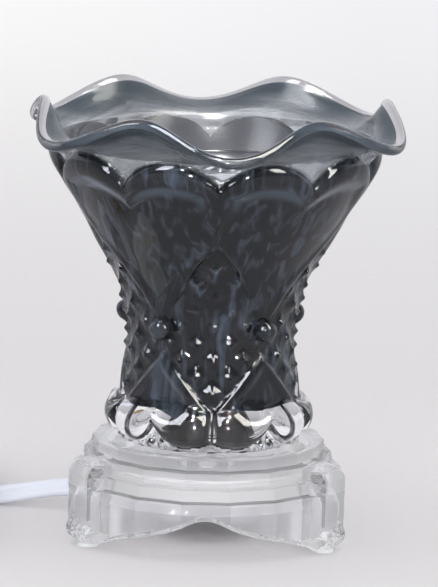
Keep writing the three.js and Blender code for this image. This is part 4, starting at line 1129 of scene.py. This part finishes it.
def flute(degrees):
    """Share of the full radius on the facets, which are slightly hollow between sharp ridges."""
    off = (degrees + FACET / 2) % FACET - FACET / 2
    flat = math.cos(math.radians(FACET / 2)) / np.cos(np.radians(off))
    return flat - FACET_HOLLOW * (1 - (2 * off / FACET) ** 2)


def off_arch(degrees):
    """Degrees from the middle of the nearest arch."""
    return np.abs((degrees + 60) % 120 - 60)


def off_pillar(degrees):
    return np.min([np.abs((degrees - p + 180) % 360 - 180) for p in PILLARS], axis=0)


def arch_bottom(degrees):
    """Height of the skirt's lower edge above the table."""
    off = off_arch(degrees)
    bow = BOW_HEIGHT * (1 - (off / BOW_HALF_ANGLE) ** 2)
    return bow + ARCH_POINT * bell(off, ARCH_POINT_SPREAD)


def pillar_share(degrees):
    """1 on a pillar and 0 away from it, with rounded sides."""
    return 1 - smooth_step(
        off_pillar(degrees), PILLAR_HALF_ANGLE - PILLAR_SOFT,
        PILLAR_HALF_ANGLE + 0.4 * PILLAR_SOFT)


def base_radius(degrees, radius, z):
    """Outer radius of the base: a fluted tier, or a pillar that stands in front of it."""
    tier = radius * flute(degrees)
    off = off_pillar(degrees)
    crown = PILLAR_CROWN * np.clip(off / PILLAR_HALF_ANGLE, 0, 1) ** 4
    head = PILLAR_HEAD * (1 - quarter_round((PILLAR_TOP - z) / PILLAR_HEAD))
    swell = FOOT_SWELL * (1 - smooth_step(z, *FOOT_SWELL_ENDS))
    drawn_in = FOOT_DRAWN_IN * (1 - smooth_step(z, *FOOT_DRAWN_IN_ENDS)) ** 2
    across, up = off / FOOT_CUT_ANGLE, z / FOOT_CUT_HEIGHT
    cut = (1 - smooth_step(z, *FOOT_CUT_ENDS)) \
        * np.abs((across + up) % 2 - 1) * np.abs((across - up) % 2 - 1)
    pillar = SKIRT_RADIUS + PILLAR_DEPTH - crown + swell - drawn_in - head - cut
    share = pillar_share(degrees) * (1 - smooth_step(z, PILLAR_TOP - 0.3, PILLAR_TOP + 0.1))
    return tier + (np.maximum(pillar, tier) - tier) * share


def base_rings():
    """Rings of the base, from the skirt's lower edge over the outside and back up the hollow."""
    degrees = 360 * np.arange(BASE_COLUMNS) / BASE_COLUMNS
    pillar = pillar_share(degrees)
    bottom = arch_bottom(degrees) * (1 - pillar) + FOOT_BOTTOM * pillar
    rings = []

    def add(r, z):
        rings.append(around(r, degrees, z))

    def add_outside(radius, z, inset=0):
        add(base_radius(degrees, radius, z) - inset, z)

    for turn in np.linspace(0, math.pi / 2, EDGE_ROWS + 1):
        add_outside(
            SKIRT_RADIUS, bottom + EDGE_ROUND * (1 - math.cos(turn)),
            EDGE_ROUND * (1 - math.sin(turn)))
    straight = bottom + EDGE_ROUND
    for share in np.linspace(0, 1, SKIRT_ROWS + 1)[1:]:
        add_outside(SKIRT_RADIUS, straight + (SKIRT_TOP - 1.3 - straight) * share)
    for i, (radius, top, chamfer) in enumerate(STEPS):
        if i:
            for z in np.linspace(STEPS[i - 1][1] + 0.9, top - chamfer, FLANK_ROWS + 1)[:-1]:
                add_outside(radius, z)
        for turn in np.linspace(0, math.pi / 2, EDGE_ROWS + 1):
            add_outside(
                radius - chamfer * (1 - math.cos(turn)), top - chamfer * (1 - math.sin(turn)))
        if top < BASE_TOP:
            after = STEPS[i + 1][0]
            add_outside(after + 0.5, top + 0.02)
            add_outside(after, top + 0.5)
    # Flat top, the tube's bore, the ceiling and the hollow of the skirt
    for r in (36, 24, 12, BORE_RADIUS + 0.3):
        add(r, BASE_TOP)
    add(BORE_RADIUS, BASE_TOP - 0.3)
    add(BORE_RADIUS, CEILING + 0.3)
    for r in (BORE_RADIUS + 0.3, 20, 30, CEILING_RADIUS - 1):
        add(r, CEILING)
    hollow = (
        (CEILING_RADIUS + 1, CEILING - 0.8), (CEILING_RADIUS + 3, CEILING - 4),
        (HOLLOW_RADIUS - 1.5, 20), (HOLLOW_RADIUS, HOLLOW_UPRIGHT_BELOW))
    for r, z in hollow:
        add(r - pillar * max(0, (PILLAR_BACK_TOP - z) * PILLAR_BACK_SLOPE), z)
    for share in (0.25, 0.5, 0.75, 0.95):
        add(HOLLOW_RADIUS + (PILLAR_BACK - HOLLOW_RADIUS) * pillar,
            HOLLOW_UPRIGHT_BELOW + (straight - HOLLOW_UPRIGHT_BELOW) * share)
    return rings


def in_hollow(x, y, z):
    """Whether a face of the base is on its hollow side or in the tube's bore."""
    # The edge runs midway through the glass, which widens below the ceiling
    reach = math.hypot(x, y)
    edge = min(HOLLOW_RADIUS + 2, CEILING_RADIUS + 1.5 + 0.7 * max(0, CEILING - 0.5 - z))
    in_bore = reach < BORE_RADIUS + 0.7 and z < BASE_TOP - 0.2
    return in_bore or (z < CEILING + 0.5 and reach < edge)


def painted_facet_light(degrees, z, up):
    """Painted light or shade of a face of the base, from its angle, its height and how far it looks
    up.
    """
    off = off_arch(degrees)
    if up > 0.6 and off < LEDGE_HALF_ANGLE:
        for top, tone in PAINTED_LEDGE_SHADE.items():
            if abs(z - top) < 0.4:
                return tone
    for top, painted_light_shares in PAINTED_FACET_LIGHT:
        if z < top + 0.3:
            return painted_light_shares[round(off / FACET)]
    return 1.0


class BURNER_OT_base(bpy.types.Operator):
    """Add the stepped clear glass base with its arches and pillars."""
    bl_idname = "burner.base"
    bl_label = "Glass base"

    def execute(self, context):
        base = loft("stepped_glass_base", base_rings(), closed=True)
        faceted = pressed_glass("Pressed clear glass, faceted", with_painted_facet_light=True)
        dress(base, faceted, "base", ("glass_base",))
        # The plunger leaves the hollow side satin, and ground and frosted under the steps
        base.data.materials.append(pressed_glass("Pressed clear glass, satin", 0.32, 0.7))
        base.data.materials.append(pressed_glass("Pressed clear glass, frosted", 0.45, 0.5))
        base.data.materials.append(pressed_glass("Pressed clear glass, ground", 0.5, 0.08))
        # Painted light and shade, one share per face of the outside; the hollow side gets none
        painted_light_shares = []
        for face in base.data.polygons:
            x, y, z = face.center / MM
            if in_hollow(x, y, z):
                face.material_index = 1 if z < FROST_FROM else 3 if z < GROUND_TO else 2
                painted_light_shares.append(1.0)
            else:
                painted_light_shares.append(painted_facet_light(math.degrees(math.atan2(x, -y)), z, face.normal.z))
        base.data.attributes.new("tone", "FLOAT", "FACE").data.foreach_set("value", painted_light_shares)
        light(base, SPARKLING)
        smooth(base, 16)
        return {"FINISHED"}


# Fittings that keep their CAD shape

# By slot: name, colour, roughness, grain's width and height in millimetres, then any metallic
# share and IOR
FINISHES = {
    "white_ceramic": ("Steatite", "f1eee6", 0.6, 0.5, 0.03),
    "black_phenolic": ("Moulded black phenolic", "0d0d0e", 0.5, 0.6, 0.01, 0, 1.25),
    "black_steel": ("Black painted steel", "232325", 0.45, 0.6, 0.01),
    "grey_plastic": ("Moulded grey plastic", "bdbcc3", 0.45, 0.6, 0.01),
    "clear_rubber": ("Clear silicone rubber", "dfe2e2", 0.45, 0.8, 0.02),
    "steel": ("Zinc-plated steel", "b9bcc0", 0.35, 0.4, 0.01, 1),
    "brass": ("Rolled brass", "d0b070", 0.3, 0.4, 0.01, 1),
    "circuit_board": ("Paper phenolic board", "b9a36a", 0.55, 0.5, 0.02),
    "mirror_coat": ("Aluminised reflector", "d9dde2", 0.12, 2.0, 0.05, 1),
}


class BURNER_OT_fittings(bpy.types.Operator):
    """Give the CAD's own lamp, holder, wiring, dimmer and plug pieces their materials."""
    bl_idname = "burner.fittings"
    bl_label = "Fittings"

    def execute(self, context):
        finishes = {
            slot: plain_finish(name, linear(code), *rest)
            for slot, (name, code, *rest) in FINISHES.items()}
        finishes["clear_glass"] = pressed_glass()
        finishes["white_plastic"] = plain_finish(
            "Moulded white plastic", colour("plastic"), 0.35, 0.6, 0.01)
        finishes["white_vinyl"] = plain_finish(
            "Moulded white vinyl", colour("cord"), 0.42, 0.7, 0.02)
        for part in frame["record"]["subparts"]:
            slot, node = part["material_slot"], frame["nodes"][part["node"]]
            if slot in finishes:
                node.data.materials.clear()
                node.data.materials.append(finishes[slot])
                if not slot.startswith("black"):
                    light(node, FILL_LIT)
        return {"FINISHED"}


class BURNER_PT_panel(bpy.types.Panel):
    """The burner's operators, sizes and colours."""
    bl_label = "Oil Burner"
    bl_idname = "BURNER_PT_panel"
    bl_space_type = "VIEW_3D"
    bl_region_type = "UI"
    bl_category = "Oil Burner"

    def draw(self, context):
        for operator in OPERATORS:
            self.layout.operator(operator.bl_idname)
        for group in (context.scene.burner_sizes, context.scene.burner_colours):
            box = self.layout.box()
            for name in type(group).__annotations__:
                box.prop(group, name)


# The stage and the cords come first, the pieces after them
OPERATORS = (
    BURNER_OT_stage, BURNER_OT_cords, BURNER_OT_fittings, BURNER_OT_shade, BURNER_OT_dish,
    BURNER_OT_base,
)
CLASSES = (BurnerSizes, BurnerColours, *OPERATORS, BURNER_PT_panel)


def register():
    for made in CLASSES:
        bpy.utils.register_class(made)
    bpy.types.Scene.burner_sizes = bpy.props.PointerProperty(type=BurnerSizes)
    bpy.types.Scene.burner_colours = bpy.props.PointerProperty(type=BurnerColours)


def unregister():
    del bpy.types.Scene.burner_colours
    del bpy.types.Scene.burner_sizes
    for made in reversed(CLASSES):
        bpy.utils.unregister_class(made)


def main():
    register()
    for operator in OPERATORS:
        group, name = operator.bl_idname.split(".")
        getattr(getattr(bpy.ops, group), name)()


if __name__ == "__main__":
    main()
